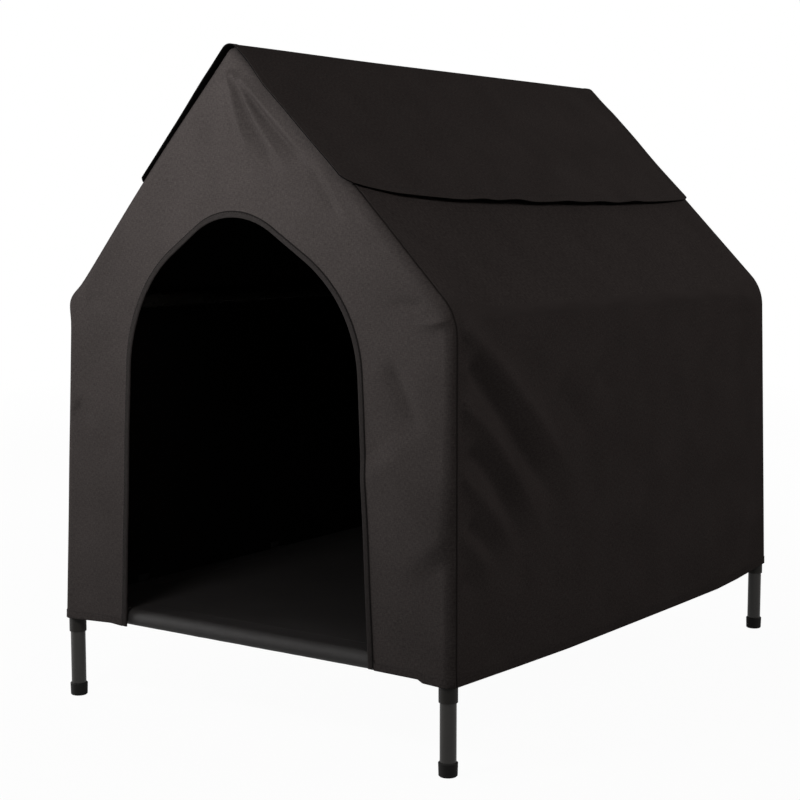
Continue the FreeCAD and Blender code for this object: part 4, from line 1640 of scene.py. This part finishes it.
@dataclass
class RoofVent:
    """A vent in the roof under a flap: a net sewn behind the opening and a tape round it."""

    panel: SidePanel
    net_pitch: float = 0.005
    strand: float = 0.0009
    net_depth: float = 0.0021
    lap: float = 0.014
    corner: float = 0.024
    tape_width: float = 0.014
    tape_thickness: float = 0.0007
    tape_lap: float = 0.002
    tape_raise: float = 0.0006
    tape_columns: int = 420
    tape_rows: int = 4
    weld: float = 1e-5

    @property
    def outward(self) -> Vector:
        """A direction that the roof faces on the whole."""
        return Vector((self.panel.side.value, 0.0, 1.0))

    def on_roof(self, depth: Array, down: Array, offset: float) -> Array:
        """Points over the roof by depth and distance below the ridge axis."""
        along = self.panel.lines.slope_share(down)
        return self.panel.point(self.panel.across_at(depth, along), along, offset)

    def flat_size(self) -> Pair:
        """Length and height of the net."""
        panel = self.panel
        return 2 * (panel.vent_half_length + self.lap), panel.vent_bottom - panel.vent_top + 2 * self.lap

    def build_net(self) -> Piece:
        """Makes the net of crossing strands.

        Returns:
            The net.
        """
        length, height = self.flat_size()
        top = self.panel.vent_top - self.lap

        def place(u: Array, v: Array) -> Array:
            """Sets the net's knots behind the roof."""
            return self.on_roof((u - 0.5) * length, top + v * height, -self.net_depth)

        net = mapped_sheet(f"{self.panel.side.label}_vent_net", round(length / self.net_pitch),
                           round(height / self.net_pitch), place, self.outward, (length, height))
        with opened(net) as shape:
            bmesh.ops.wireframe(shape, faces=shape.faces[:], thickness=self.strand, use_replace=True,
                                use_boundary=True, use_even_offset=True)
            for face in shape.faces:
                face.smooth = False
        return net

    def rim(self) -> RoundedLine:
        """The opening's edge with rounded corners, from the middle of its top.

        Returns:
            The line, as (depth, down).
        """
        half, top, bottom = self.panel.vent_half_length, self.panel.vent_top, self.panel.vent_bottom
        corners = ((0.0, top), (half, top), (half, bottom), (-half, bottom), (-half, top), (0.0, top))
        return RoundedLine(corners, (self.corner,) * 4)

    def rim_surface(self, way: Array, inset: Array) -> Array:
        """Points over the roof beside the opening.

        Args:
            way: Shares round the rim.
            inset: Distances outwards from the tape's inner edge.

        Returns:
            The points, one row each.
        """
        line = self.rim()
        reaches = line.reaches()
        points, normals = line.at(way * reaches[-1], reaches)
        spread = points + normals * (inset - self.tape_lap)[:, None]
        return self.on_roof(spread[:, 0], spread[:, 1], self.tape_raise)

    def build_tape(self) -> Piece:
        """Makes the flat tape sewn round the opening.

        Returns:
            The tape.
        """
        def place(u: Array, v: Array) -> Array:
            """Sets the grid's points on the roof beside the rim."""
            return self.rim_surface(u, v * self.tape_width)

        tape = mapped_sheet(f"{self.panel.side.label}_vent_tape", self.tape_columns, self.tape_rows, place,
                            self.outward, (self.rim().reaches()[-1], self.tape_width))
        with opened(tape) as shape:
            bmesh.ops.remove_doubles(shape, verts=shape.verts[:], dist=self.weld)
        return thicken(tape, self.tape_thickness)


@dataclass
class HoldDownTabs:
    """Straps that tie the hem of the cover round a base rail."""

    name: str
    places: Line
    outwards: Pair
    lines: FrameLines
    radius: float = 0.0130
    thickness: float = 0.0008
    width: float = 0.025
    rise: float = 0.020
    first_turn: float = 0.0
    wrap: float = math.radians(125)
    wrap_steps: int = 14
    ribs: tuple[float, ...] = (-0.5, -0.25, 0.0, 0.25, 0.5)

    def build(self) -> Piece:
        """Makes every strap of one side as one piece.

        Returns:
            The straps.
        """
        out = Vector((*self.outwards, 0.0))
        along = Vector((-out.y, out.x, 0.0))
        reach = out * (self.radius * math.cos(self.first_turn))
        raised = Vector((0.0, 0.0, self.rise - self.radius * math.sin(self.first_turn)))
        shape = bmesh.new()
        weave = shape.loops.layers.uv.new(UV_NAME)
        for x, y in self.places:
            centre = Vector((x, y, self.lines.rail_z))
            top = centre + reach + raised
            start = [shape.verts.new(top + along * (self.width * share)) for share in self.ribs]
            edges = [shape.edges.new(pair) for pair in zip(start, start[1:])]
            foot = start + edges
            if self.rise:
                foot = bmesh.ops.extrude_edge_only(shape, edges=edges)["geom"]
                moved = [item for item in foot if isinstance(item, bmesh.types.BMVert)]
                bmesh.ops.translate(shape, verts=moved, vec=(0.0, 0.0, -self.rise))
                foot = moved + [item for item in foot if isinstance(item, bmesh.types.BMEdge)]
            bmesh.ops.spin(shape, geom=foot, cent=centre, axis=along, angle=-self.wrap, steps=self.wrap_steps)
        for face in shape.faces:
            for loop in face.loops:
                loop[weave].uv = (loop.vert.co.dot(along), loop.vert.co.z)
        bmesh.ops.recalc_face_normals(shape, faces=shape.faces[:])
        return thicken(as_object(self.name, shape), self.thickness, 0.0)


@dataclass(frozen=True)
class Lamp:
    """A soft square lamp. Its level is how bright a white surface at the aim, facing it, renders."""

    name: str
    place: Place
    aim: Place
    size: float
    level: float
    tint: Colour = (1.0, 1.0, 1.0)

    def build(self) -> None:
        """Sets the lamp up."""
        data = bpy.data.lights.new(self.name, "AREA")
        data.shape = "SQUARE"
        data.size = self.size
        data.color = self.tint
        gap = Vector(self.aim) - Vector(self.place)
        data.energy = self.level * math.pi**2 * gap.length_squared
        lamp = bpy.data.objects.new(self.name, data)
        lamp.location = self.place
        lamp.rotation_euler = gap.to_track_quat("-Z", "Y").to_euler()
        bpy.context.scene.collection.objects.link(lamp)


@dataclass
class Studio:
    """A white sweep of floor, soft lamps and the camera of the view."""

    focal_pixels: float = 1716.6
    frame_pixels: float = 800.0
    sensor: float = 36.0
    far_clip: float = 60.0
    camera_place: Place = (1.5137, -2.2901, 0.7230)
    camera_yaw: float = math.radians(34.88)
    camera_pitch: float = math.radians(6.216)
    floor_half: float = 14.0
    ambient: float = 0.03
    mirrored: float = 0.4
    near_glow: float = 0.965
    glow_range: Pair = (0.6, 5.0)
    bounce: float = 0.25
    paleness: float = 0.8
    lamps: tuple[Lamp, ...] = (
        Lamp("key", (-0.07, -1.16, 0.90), (0.02, -0.5, 0.82), 0.26, 1.07),
        Lamp("fill", (2.1, 0.75, 1.85), (0.25, 0.0, 0.5), 0.9, 0.19, (1.0, 0.94, 0.92)),
        Lamp("front_right", (1.3, -1.3, 1.25), (0.34, -0.45, 0.5), 0.5, 0.105, (1.0, 0.95, 0.93)),
        Lamp("left", (-1.5, -0.95, 0.38), (-0.25, -0.45, 0.12), 0.5, 0.56),
        Lamp("left_rear", (-1.9, 0.6, 1.3), (-0.2, 0.2, 0.5), 1.2, 0.25),
        Lamp("back", (-0.3, 2.6, 1.5), (0.0, 0.3, 0.6), 1.4, 0.3),
    )

    def camera(self) -> None:
        """Sets the camera at the photographed view."""
        data = bpy.data.cameras.new("view")
        data.sensor_width = self.sensor
        data.lens = self.sensor * self.focal_pixels / self.frame_pixels
        data.clip_end = self.far_clip
        view = bpy.data.objects.new("view", data)
        view.location = Vector(self.camera_place) + Vector((0.0, MIDDLE_Y, 0.0))
        view.rotation_euler = (math.pi / 2 - self.camera_pitch, 0.0, self.camera_yaw)
        bpy.context.scene.collection.objects.link(view)
        bpy.context.scene.camera = view

    def backdrop_rays(self, bench: Bench) -> Socket:
        """Tells the rays that see the backdrop from those that carry its light.

        Args:
            bench: The nodes to add to.

        Returns:
            A factor that is 1 for the rays that see it and 0 for the others.
        """
        path = bench.add("ShaderNodeLightPath").outputs
        mirrored = bench.ranged(path["Is Glossy Ray"], (0.0, 1.0), (0.0, self.mirrored))
        seen = bench.math("MAXIMUM", path["Is Camera Ray"], mirrored)
        return bench.math("MAXIMUM", seen, path["Is Transmission Ray"])

    def floor(self) -> None:
        """Lays the pale floor, which keeps the bed's shadow."""
        shape = bmesh.new()
        bmesh.ops.create_grid(shape, x_segments=8, y_segments=8, size=self.floor_half)
        floor = as_object("floor", shape)
        bench = Bench(bpy.data.materials.new("floor_white"))
        bench.tree.nodes.clear()
        seen = self.backdrop_rays(bench)
        place = bench.add("ShaderNodeTexCoord").outputs["Object"]
        gap = bench.add("ShaderNodeVectorMath", {0: place}, operation="LENGTH").outputs["Value"]
        share = bench.math("MULTIPLY", seen, bench.ranged(gap, self.glow_range, (self.near_glow, 1.0)))
        pale = bench.ranged(seen, (0.0, 1.0), (self.bounce, self.paleness))
        matt = bench.add("ShaderNodeBsdfDiffuse", {"Color": pale}).outputs[0]
        glow = bench.add("ShaderNodeEmission").outputs[0]
        mix = bench.add("ShaderNodeMixShader", {0: share, 1: matt, 2: glow}).outputs[0]
        bench.add("ShaderNodeOutputMaterial", {"Surface": mix})
        floor.data.materials.append(bench.owner)

    def world(self) -> None:
        """Sets a white surround that lights the bed faintly."""
        bench = Bench(bpy.data.worlds.new("studio"))
        bpy.context.scene.world = bench.owner
        level = bench.ranged(self.backdrop_rays(bench), (0.0, 1.0), (self.ambient, 1.0))
        bench.feed(bench.tree.nodes["Background"], {"Color": (1.0, 1.0, 1.0, 1.0), "Strength": level})

    def build(self) -> None:
        """Sets up the whole studio."""
        self.camera()
        self.floor()
        self.world()
        for lamp in self.lamps:
            lamp.build()
        bpy.context.scene.view_settings.view_transform = "Standard"


@dataclass
class Frame:
    """The tube frame: its nodes keep their shapes and get their finishes."""

    finishes: Finishes

    def dress(self) -> None:
        """Gives each carried-over node its finish."""
        kinds = (
            ("foot_cap", self.finishes.rubber),
            ("connector", self.finishes.fitting),
            ("eave_elbow", self.finishes.fitting),
            ("leg_", self.finishes.tube),
            ("post_", self.finishes.tube),
            ("rafter_", self.finishes.tube),
            ("_rail", self.finishes.tube),
            ("ridge_pole", self.finishes.tube),
        )
        for name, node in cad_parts.items():
            for kind, finish in kinds:
                if kind in name:
                    node.data.materials.clear()
                    node.data.materials.append(finish)
                    log.info("%s dressed in %s", name, finish.name)


@dataclass
class Cover:
    """The fitted cloth cover with its panels, binding, hems, vents and stitching.

    The hems are given by how far they drop, as (depth, drop). The sides' folds are laid out as
    (depth, rise), and those of the two end walls as (across, up). The right side's fan out from its
    front eave corner.
    """

    lines: FrameLines
    finishes: Finishes
    panel_cut: Pair = (0.70, 0.83)
    left_hem: Line = ((-0.49, 0.0), (-0.2, 0.006), (0.1, 0.009), (0.35, 0.008), (0.49, 0.005))
    right_hem: Line = ((-0.49, 0.0), (-0.35, 0.005), (-0.2, 0.0095), (0.0, 0.012), (0.15, 0.0137),
                       (0.3, 0.015), (0.38, 0.012), (0.45, 0.007), (0.49, 0.004))
    hem_width: float = 0.012
    side_hem_length: float = 1.0
    rear_hem_length: float = 0.69
    front_hem_length: float = 0.12
    stitch_inset: float = 0.002
    stitch_raise: float = 0.0008
    jamb_width: float = 0.115
    binding_width: float = 0.0078
    binding_thickness: float = 0.0013
    binding_columns: int = 420
    binding_stitch_inset: float = 0.0022
    binding_stitch_raise: float = 0.0012
    tail_radius: float = 0.0154
    tail_thickness: float = 0.0014
    tail_overlap: float = 0.002
    tail_start: float = math.radians(26)
    tail_wrap: float = math.radians(100)
    seam_inset: float = 0.0028
    seam_raise: float = 0.0001
    front_tabs: tuple[float, ...] = (-0.28, 0.28)
    rear_tabs: tuple[float, ...] = (-0.25, 0.0, 0.25)
    side_tabs: tuple[float, ...] = (-0.33, 0.0, 0.33)
    right_folds: tuple[Fold, ...] = (
        Fold(((-0.482, 0.468), (-0.383, 0.390), (-0.277, 0.309), (-0.184, 0.226), (-0.10, 0.150)),
             0.0095, 0.016, (0.06, 0.55), 1.5, 1.5),
        Fold(((-0.462, 0.415), (-0.417, 0.372), (-0.330, 0.290), (-0.241, 0.212), (-0.165, 0.140)),
             -0.0125, 0.015, (0.10, 0.5), 1.5, 1.6),
        Fold(((-0.482, 0.366), (-0.440, 0.335), (-0.372, 0.275), (-0.300, 0.197), (-0.235, 0.130)),
             0.0105, 0.015, (0.06, 0.5), 1.4, 1.5),
        Fold(((-0.464, 0.302), (-0.410, 0.262), (-0.342, 0.186), (-0.30, 0.130)),
             -0.0085, 0.013, (0.12, 0.45), 1.4, 1.6),
        Fold(((-0.484, 0.275), (-0.451, 0.247), (-0.373, 0.179), (-0.33, 0.13)),
             0.0080, 0.013, (0.06, 0.45), 1.4, 1.5),
        Fold(((-0.464, 0.205), (-0.414, 0.168), (-0.37, 0.125)), -0.0060, 0.012, (0.15, 0.45), 1.3, 1.6),
        Fold(((-0.484, 0.195), (-0.440, 0.160), (-0.40, 0.125)), 0.0045, 0.011, (0.06, 0.45), 1.3, 1.5),
        Fold(((-0.484, 0.415), (-0.455, 0.393), (-0.415, 0.352)), 0.0035, 0.008, (0.06, 0.6), 1.4, 1.4),
        Fold(((-0.480, 0.140), (-0.41, 0.100)), -0.004, 0.014),
        Fold(((-0.22, 0.355), (-0.10, 0.250)), -0.005, 0.020),
        Fold(((-0.11, 0.370), (-0.05, 0.320)), -0.004, 0.016),
        Fold(((0.450, 0.435), (0.36, 0.415), (0.26, 0.40)), -0.0030, 0.016),
        Fold(((0.466, 0.430), (0.42, 0.35), (0.35, 0.27)), -0.0035, 0.022),
        Fold(((-0.470, 0.645), (-0.41, 0.54)), -0.0028, 0.016),
        Fold(((0.33, 0.665), (0.44, 0.615)), -0.0022, 0.016),
        Fold(((0.478, 0.09), (0.40, 0.05)), 0.0022, 0.014),
    )
    left_folds: tuple[Fold, ...] = (
        Fold(((-0.478, 0.465), (-0.38, 0.40), (-0.27, 0.36)), -0.004, 0.02),
        Fold(((-0.462, 0.440), (-0.38, 0.31), (-0.28, 0.21)), -0.0045, 0.022),
        Fold(((-0.470, 0.45), (-0.41, 0.37), (-0.33, 0.30)), 0.0035, 0.018),
        Fold(((0.465, 0.455), (0.38, 0.34), (0.27, 0.24)), -0.005, 0.022),
        Fold(((0.474, 0.462), (0.37, 0.41), (0.25, 0.375)), 0.0035, 0.02),
        Fold(((0.455, 0.425), (0.41, 0.29), (0.34, 0.19)), 0.003, 0.02),
        Fold(((0.480, 0.15), (0.40, 0.10)), -0.002, 0.014),
        Fold(((-0.470, 0.645), (-0.40, 0.555)), -0.0025, 0.018),
    )
    front_folds: tuple[Fold, ...] = (
        Fold(((0.000, 0.912), (0.018, 0.862), (0.046, 0.810), (0.074, 0.772)),
             -0.0075, 0.0055, (0.25, 0.3), 1.7, 1.3),
        Fold(((0.004, 0.908), (0.060, 0.838), (0.128, 0.776)), -0.0075, 0.0052, (0.25, 0.3), 1.7, 1.3),
        Fold(((0.004, 0.914), (0.036, 0.850), (0.075, 0.800), (0.108, 0.765)),
             0.0085, 0.0065, (0.06, 0.4), 1.8, 1.3),
        Fold(((-0.004, 0.914), (0.006, 0.858), (0.030, 0.790)), 0.0075, 0.0065, (0.06, 0.4), 1.8, 1.3),
        Fold(((0.014, 0.906), (0.088, 0.830), (0.155, 0.762)), 0.0065, 0.0062, (0.08, 0.5), 1.6, 1.3),
        Fold(((-0.012, 0.906), (-0.012, 0.860), (-0.004, 0.815)), 0.0045, 0.0070, (0.08, 0.5), 1.7, 1.4),
        Fold(((0.115, 0.795), (0.150, 0.745), (0.178, 0.700)), -0.0040, 0.007, (0.3, 0.4), 1.4, 1.4),
        Fold(((0.130, 0.795), (0.165, 0.748), (0.192, 0.705)), 0.0035, 0.007, (0.3, 0.4), 1.4, 1.4),
        Fold(((-0.03, 0.86), (-0.055, 0.80)), -0.002, 0.009, (0.3, 0.5), 1.6),
        Fold(((0.300, 0.606), (0.27, 0.607), (0.23, 0.604)), -0.0035, 0.008, (0.2, 0.6), 1.4),
        Fold(((0.342, 0.590), (0.315, 0.584), (0.275, 0.583)), 0.0060, 0.006, (0.08, 0.6), 1.5, 1.4),
        Fold(((0.235, 0.54), (0.265, 0.49), (0.300, 0.43)), -0.0075, 0.012, (0.3, 0.5), 1.3),
        Fold(((0.225, 0.425), (0.28, 0.35), (0.338, 0.275)), 0.009, 0.040, (0.2, 0.2), 1.1),
        Fold(((-0.325, 0.445), (-0.28, 0.408)), -0.004, 0.014, (0.2, 0.6), 1.3),
        Fold(((-0.300, 0.60), (-0.28, 0.60), (-0.245, 0.595)), -0.003, 0.010, (0.2, 0.6), 1.4),
    )
    rear_folds: tuple[Fold, ...] = (
        Fold(((0.31, 0.575), (0.21, 0.52), (0.10, 0.49)), -0.0035, 0.022),
        Fold(((-0.31, 0.575), (-0.22, 0.50), (-0.13, 0.44)), -0.0035, 0.022),
        Fold(((0.300, 0.56), (0.24, 0.46), (0.19, 0.37)), 0.003, 0.022),
        Fold(((0.0, 0.90), (0.03, 0.80), (0.05, 0.70)), -0.002, 0.014),
        Fold(((0.0, 0.90), (-0.03, 0.81), (-0.07, 0.72)), -0.002, 0.014),
        Fold(((-0.32, 0.16), (-0.24, 0.22)), 0.002, 0.018),
    )

    def __post_init__(self) -> None:
        """Lays out the four panels."""
        self.sides = (SidePanel(Side.LEFT, self.lines, self.left_folds, self.left_hem, seed=2.3),
                      SidePanel(Side.RIGHT, self.lines, self.right_folds, self.right_hem, seed=5.9))
        self.front = FrontPanel(self.lines, self.front_folds)
        self.rear = RearPanel(self.lines, self.rear_folds)

    def build(self) -> None:
        """Makes and dresses every piece of the cover."""
        self.panels()
        self.door_binding()
        self.hems()
        self.seams()
        for panel in self.sides:
            self.vent(RoofVent(panel))
        self.tabs()

    def panels(self) -> None:
        """Makes the four panels."""
        for panel in self.sides:
            side = panel.side
            piece = install(panel.build(), self.finishes.cover, [f"cover_{side.label}_side"],
                            lining=self.finishes.coating_and_shade)
            length, height = panel.flat_size()
        for end, panel in (("front", self.front), ("rear", self.rear)):
            piece = install(panel.build(), self.finishes.cover, [f"cover_{end}_panel"],
                            lining=self.finishes.coating_and_shade)
            panel.area()

    def door_binding(self) -> None:
        """Makes the tape round the doorway, its stitches and its two tails."""
        front = self.front
        outward = Vector((0.0, -1.0, 0.0))

        def surface(way: Array, inset: Array) -> Array:
            """The front wall by shares round the doorway and distances in from its edge."""
            edge, axis = [front.point(way, np.full(len(way), share)) for share in (0.0, front.axis_share)]
            return front.point(way, inset / np.linalg.norm(axis - edge, axis=1) * front.axis_share)

        length = front.door_line().reaches()[-1]
        tape = EdgeTape("door_binding_tape", surface, outward, length, self.binding_width, self.lines.cloth,
                        self.binding_thickness, self.binding_columns)
        install(tape.build(), self.finishes.tape, ["door_binding"])
        path = seam_path(surface, np.linspace(0.002, 0.998, 900),
                         self.binding_width - self.binding_stitch_inset, outward, self.binding_stitch_raise)
        install(StitchRow("door_binding_stitches").build([path]), self.finishes.thread)
        foot = front.foot_half_width + self.binding_width / 2
        tails = HoldDownTabs("door_binding_tails", ((-foot, -self.lines.leg_y), (foot, -self.lines.leg_y)),
                             (0.0, -1.0), self.lines, radius=self.tail_radius, thickness=self.tail_thickness,
                             width=self.binding_width + self.tail_overlap, rise=0.0,
                             first_turn=self.tail_start, wrap=self.tail_wrap)
        install(tails.build(), self.finishes.tape)

    def hem(self, name: str, node: str, surface: Surface, outward: Vector, length: float,
            columns: int = 300) -> tuple[Array, Array]:
        """Makes one turned hem.

        Args:
            name: The piece's name.
            node: The node that it stands for.
            surface: Gives points of the wall for shares along its foot and distances up from it.
            outward: A direction that the wall faces on the whole.
            length: The hem's length.
            columns: Cells along it.

        Returns:
            The points and outward normals of its row of stitches.
        """
        fold = EdgeTape(name, surface, outward, length, self.hem_width, self.lines.cloth, columns=columns)
        install(fold.build(), self.finishes.hem, [node])
        return seam_path(surface, np.linspace(0, 1, columns), self.hem_width - self.stitch_inset, outward,
                         self.stitch_raise)

    def hems(self) -> None:
        """Makes the turned hems along the foot of the cover, with their stitches."""
        front = self.front
        rise = self.lines.rise(np.array([0.0, self.lines.bend_start]))[1] / self.lines.bend_start
        start = self.binding_width / self.jamb_width * front.axis_share
        runs = []
        for panel in self.sides:
            def side_surface(way: Array, inset: Array, panel: SidePanel = panel) -> Array:
                """A side by shares along its foot and distances up from it."""
                return panel.point(way * 2 - 1, inset / rise)

            node = f"{panel.side.label}_side_hem"
            runs.append(self.hem(f"{node}_fold", node, side_surface, Vector((panel.side.value, 0.0, 0.0)),
                                 self.side_hem_length))

        def rear_surface(way: Array, inset: Array) -> Array:
            """The rear wall by shares along its foot and distances up from it."""
            return self.rear.point(way * 2 - 1, inset / rise)

        runs.append(self.hem("rear_hem_fold", "rear_hem", rear_surface, Vector((0.0, 1.0, 0.0)),
                             self.rear_hem_length))
        for side in Side:
            def front_surface(way: Array, inset: Array, side: Side = side) -> Array:
                """The front wall beside the doorway by shares along its foot and distances up from it."""
                share = inset / rise / 2
                return front.point(share if side is Side.LEFT else 1 - share, start + way * (1 - start))

            runs.append(self.hem(f"front_hem_fold_{side.label}", "front_hem", front_surface,
                                 Vector((0.0, -1.0, 0.0)), self.front_hem_length, columns=60))
        install(StitchRow("hem_stitches").build(runs), self.finishes.thread)

    def seams(self) -> None:
        """Sews a row beside each of the four corner seams."""
        front, rear = self.front, self.rear
        way = np.linspace(0.02, 0.985, 420)
        rear_arc = self.lines.cover_out * self.lines.rear_turn
        front_arc = self.lines.cover_out * (math.pi / 2 - self.lines.front_turn)
        for side in Side:
            def front_surface(along: Array, level: Array, side: Side = side) -> Array:
                """The front wall by shares from hem to ridge and distances in from its seam."""
                share = along / 2 if side is Side.LEFT else 1 - along / 2
                return front.point(share, 1 - level / front_arc * (1 - front.axis_share))

            def rear_surface(along: Array, level: Array, side: Side = side) -> Array:
                """The rear wall by shares from hem to ridge and distances in from its seam."""
                return rear.point(side.value * (1 - level / rear_arc * (1 - rear.axis_share)), along)

            runs = []
            for surface, end in ((front_surface, -0.8), (rear_surface, 0.8)):
                corner = Vector((side.value * 0.6, end, 0.2))
                runs.append(seam_path(surface, way, self.seam_inset, corner, self.seam_raise))
            row = StitchRow(f"{side.label}_corner_stitches", pitch=0.0042, length=0.0028, width=0.0007,
                            height=0.0005)
            install(row.build(runs), self.finishes.thread)

    def vent(self, vent: RoofVent) -> None:
        """Makes a vent's net and tape.

        Args:
            vent: The vent.
        """
        side = vent.panel.side.label
        net = install(vent.build_net(), self.finishes.net, [f"{side}_vent_mesh"])
        flat = vent.flat_size()
        install(vent.build_tape(), self.finishes.tape)

    def tabs(self) -> None:
        """Makes the straps on all four sides."""
        x, y = self.lines.leg_x, self.lines.leg_y
        rows = (
            ("front", tuple((place, -y) for place in self.front_tabs), (0.0, -1.0)),
            ("rear", tuple((place, y) for place in self.rear_tabs), (0.0, 1.0)),
            ("left", tuple((-x, place) for place in self.side_tabs), (-1.0, 0.0)),
            ("right", tuple((x, place) for place in self.side_tabs), (1.0, 0.0)),
        )
        for name, places, outwards in rows:
            straps = HoldDownTabs(f"{name}_hold_down_straps", places, outwards, self.lines).build()
            install(straps, self.finishes.pile, [f"{name}_hold_down_tabs"])


@dataclass
class Cap:
    """The loose ridge cap: two halves that meet along the ridge."""

    lines: FrameLines
    finishes: Finishes
    left_lifts: tuple[Place, ...] = (
        (-0.26, 0.004, 0.05), (-0.05, 0.005, 0.06), (0.17, 0.004, 0.05), (0.33, 0.003, 0.04))
    right_lifts: tuple[Place, ...] = (
        (-0.198, 0.004, 0.03), (-0.115, 0.0055, 0.04), (0.03, 0.003, 0.04), (0.141, 0.0035, 0.04),
        (0.263, 0.003, 0.035))

    def build(self) -> None:
        """Makes both halves and their stitches."""
        halves = (
            RidgeCap(Side.LEFT, self.lines, self.left_lifts, front_rise=0.036, front_standoff=0.0),
            RidgeCap(Side.RIGHT, self.lines, self.right_lifts, front_rise=0.029, front_standoff=0.0015,
                     front_lap=0.011, rear_rise=0.011, rear_round=0.005, seed=25.0),
        )
        for half in halves:
            nodes = [f"{half.side.label}_ridge_flap"]
            if half.side is Side.RIGHT:
                nodes.append("ridge_strip")
            cloth = install(half.build(), self.finishes.cover, nodes, body=None,
                            lining=self.finishes.coating_and_shade)
            stitches = install(half.stitches(), self.finishes.thread, body=None)
            start, end = half.bend_line()
            for piece in (cloth, stitches):
                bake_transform(piece)


def main() -> None:
    """Builds the studio, the frame, the cover, the mat and the cap in order."""
    logging.basicConfig(level=logging.INFO, format="%(message)s")
    lines = FrameLines.from_nodes()
    finishes = Finishes()
    Studio().build()
    Frame(finishes).dress()
    Cover(lines, finishes).build()
    mat = SleepingMat(lines)
    piece = install(mat.build(), finishes.mat, ["sleeping_mat"])
    mat.flat_size()
    mat.area()
    install(mat.stitches(), finishes.thread)
    Cap(lines, finishes).build()


if __name__ == "__main__":
    main()
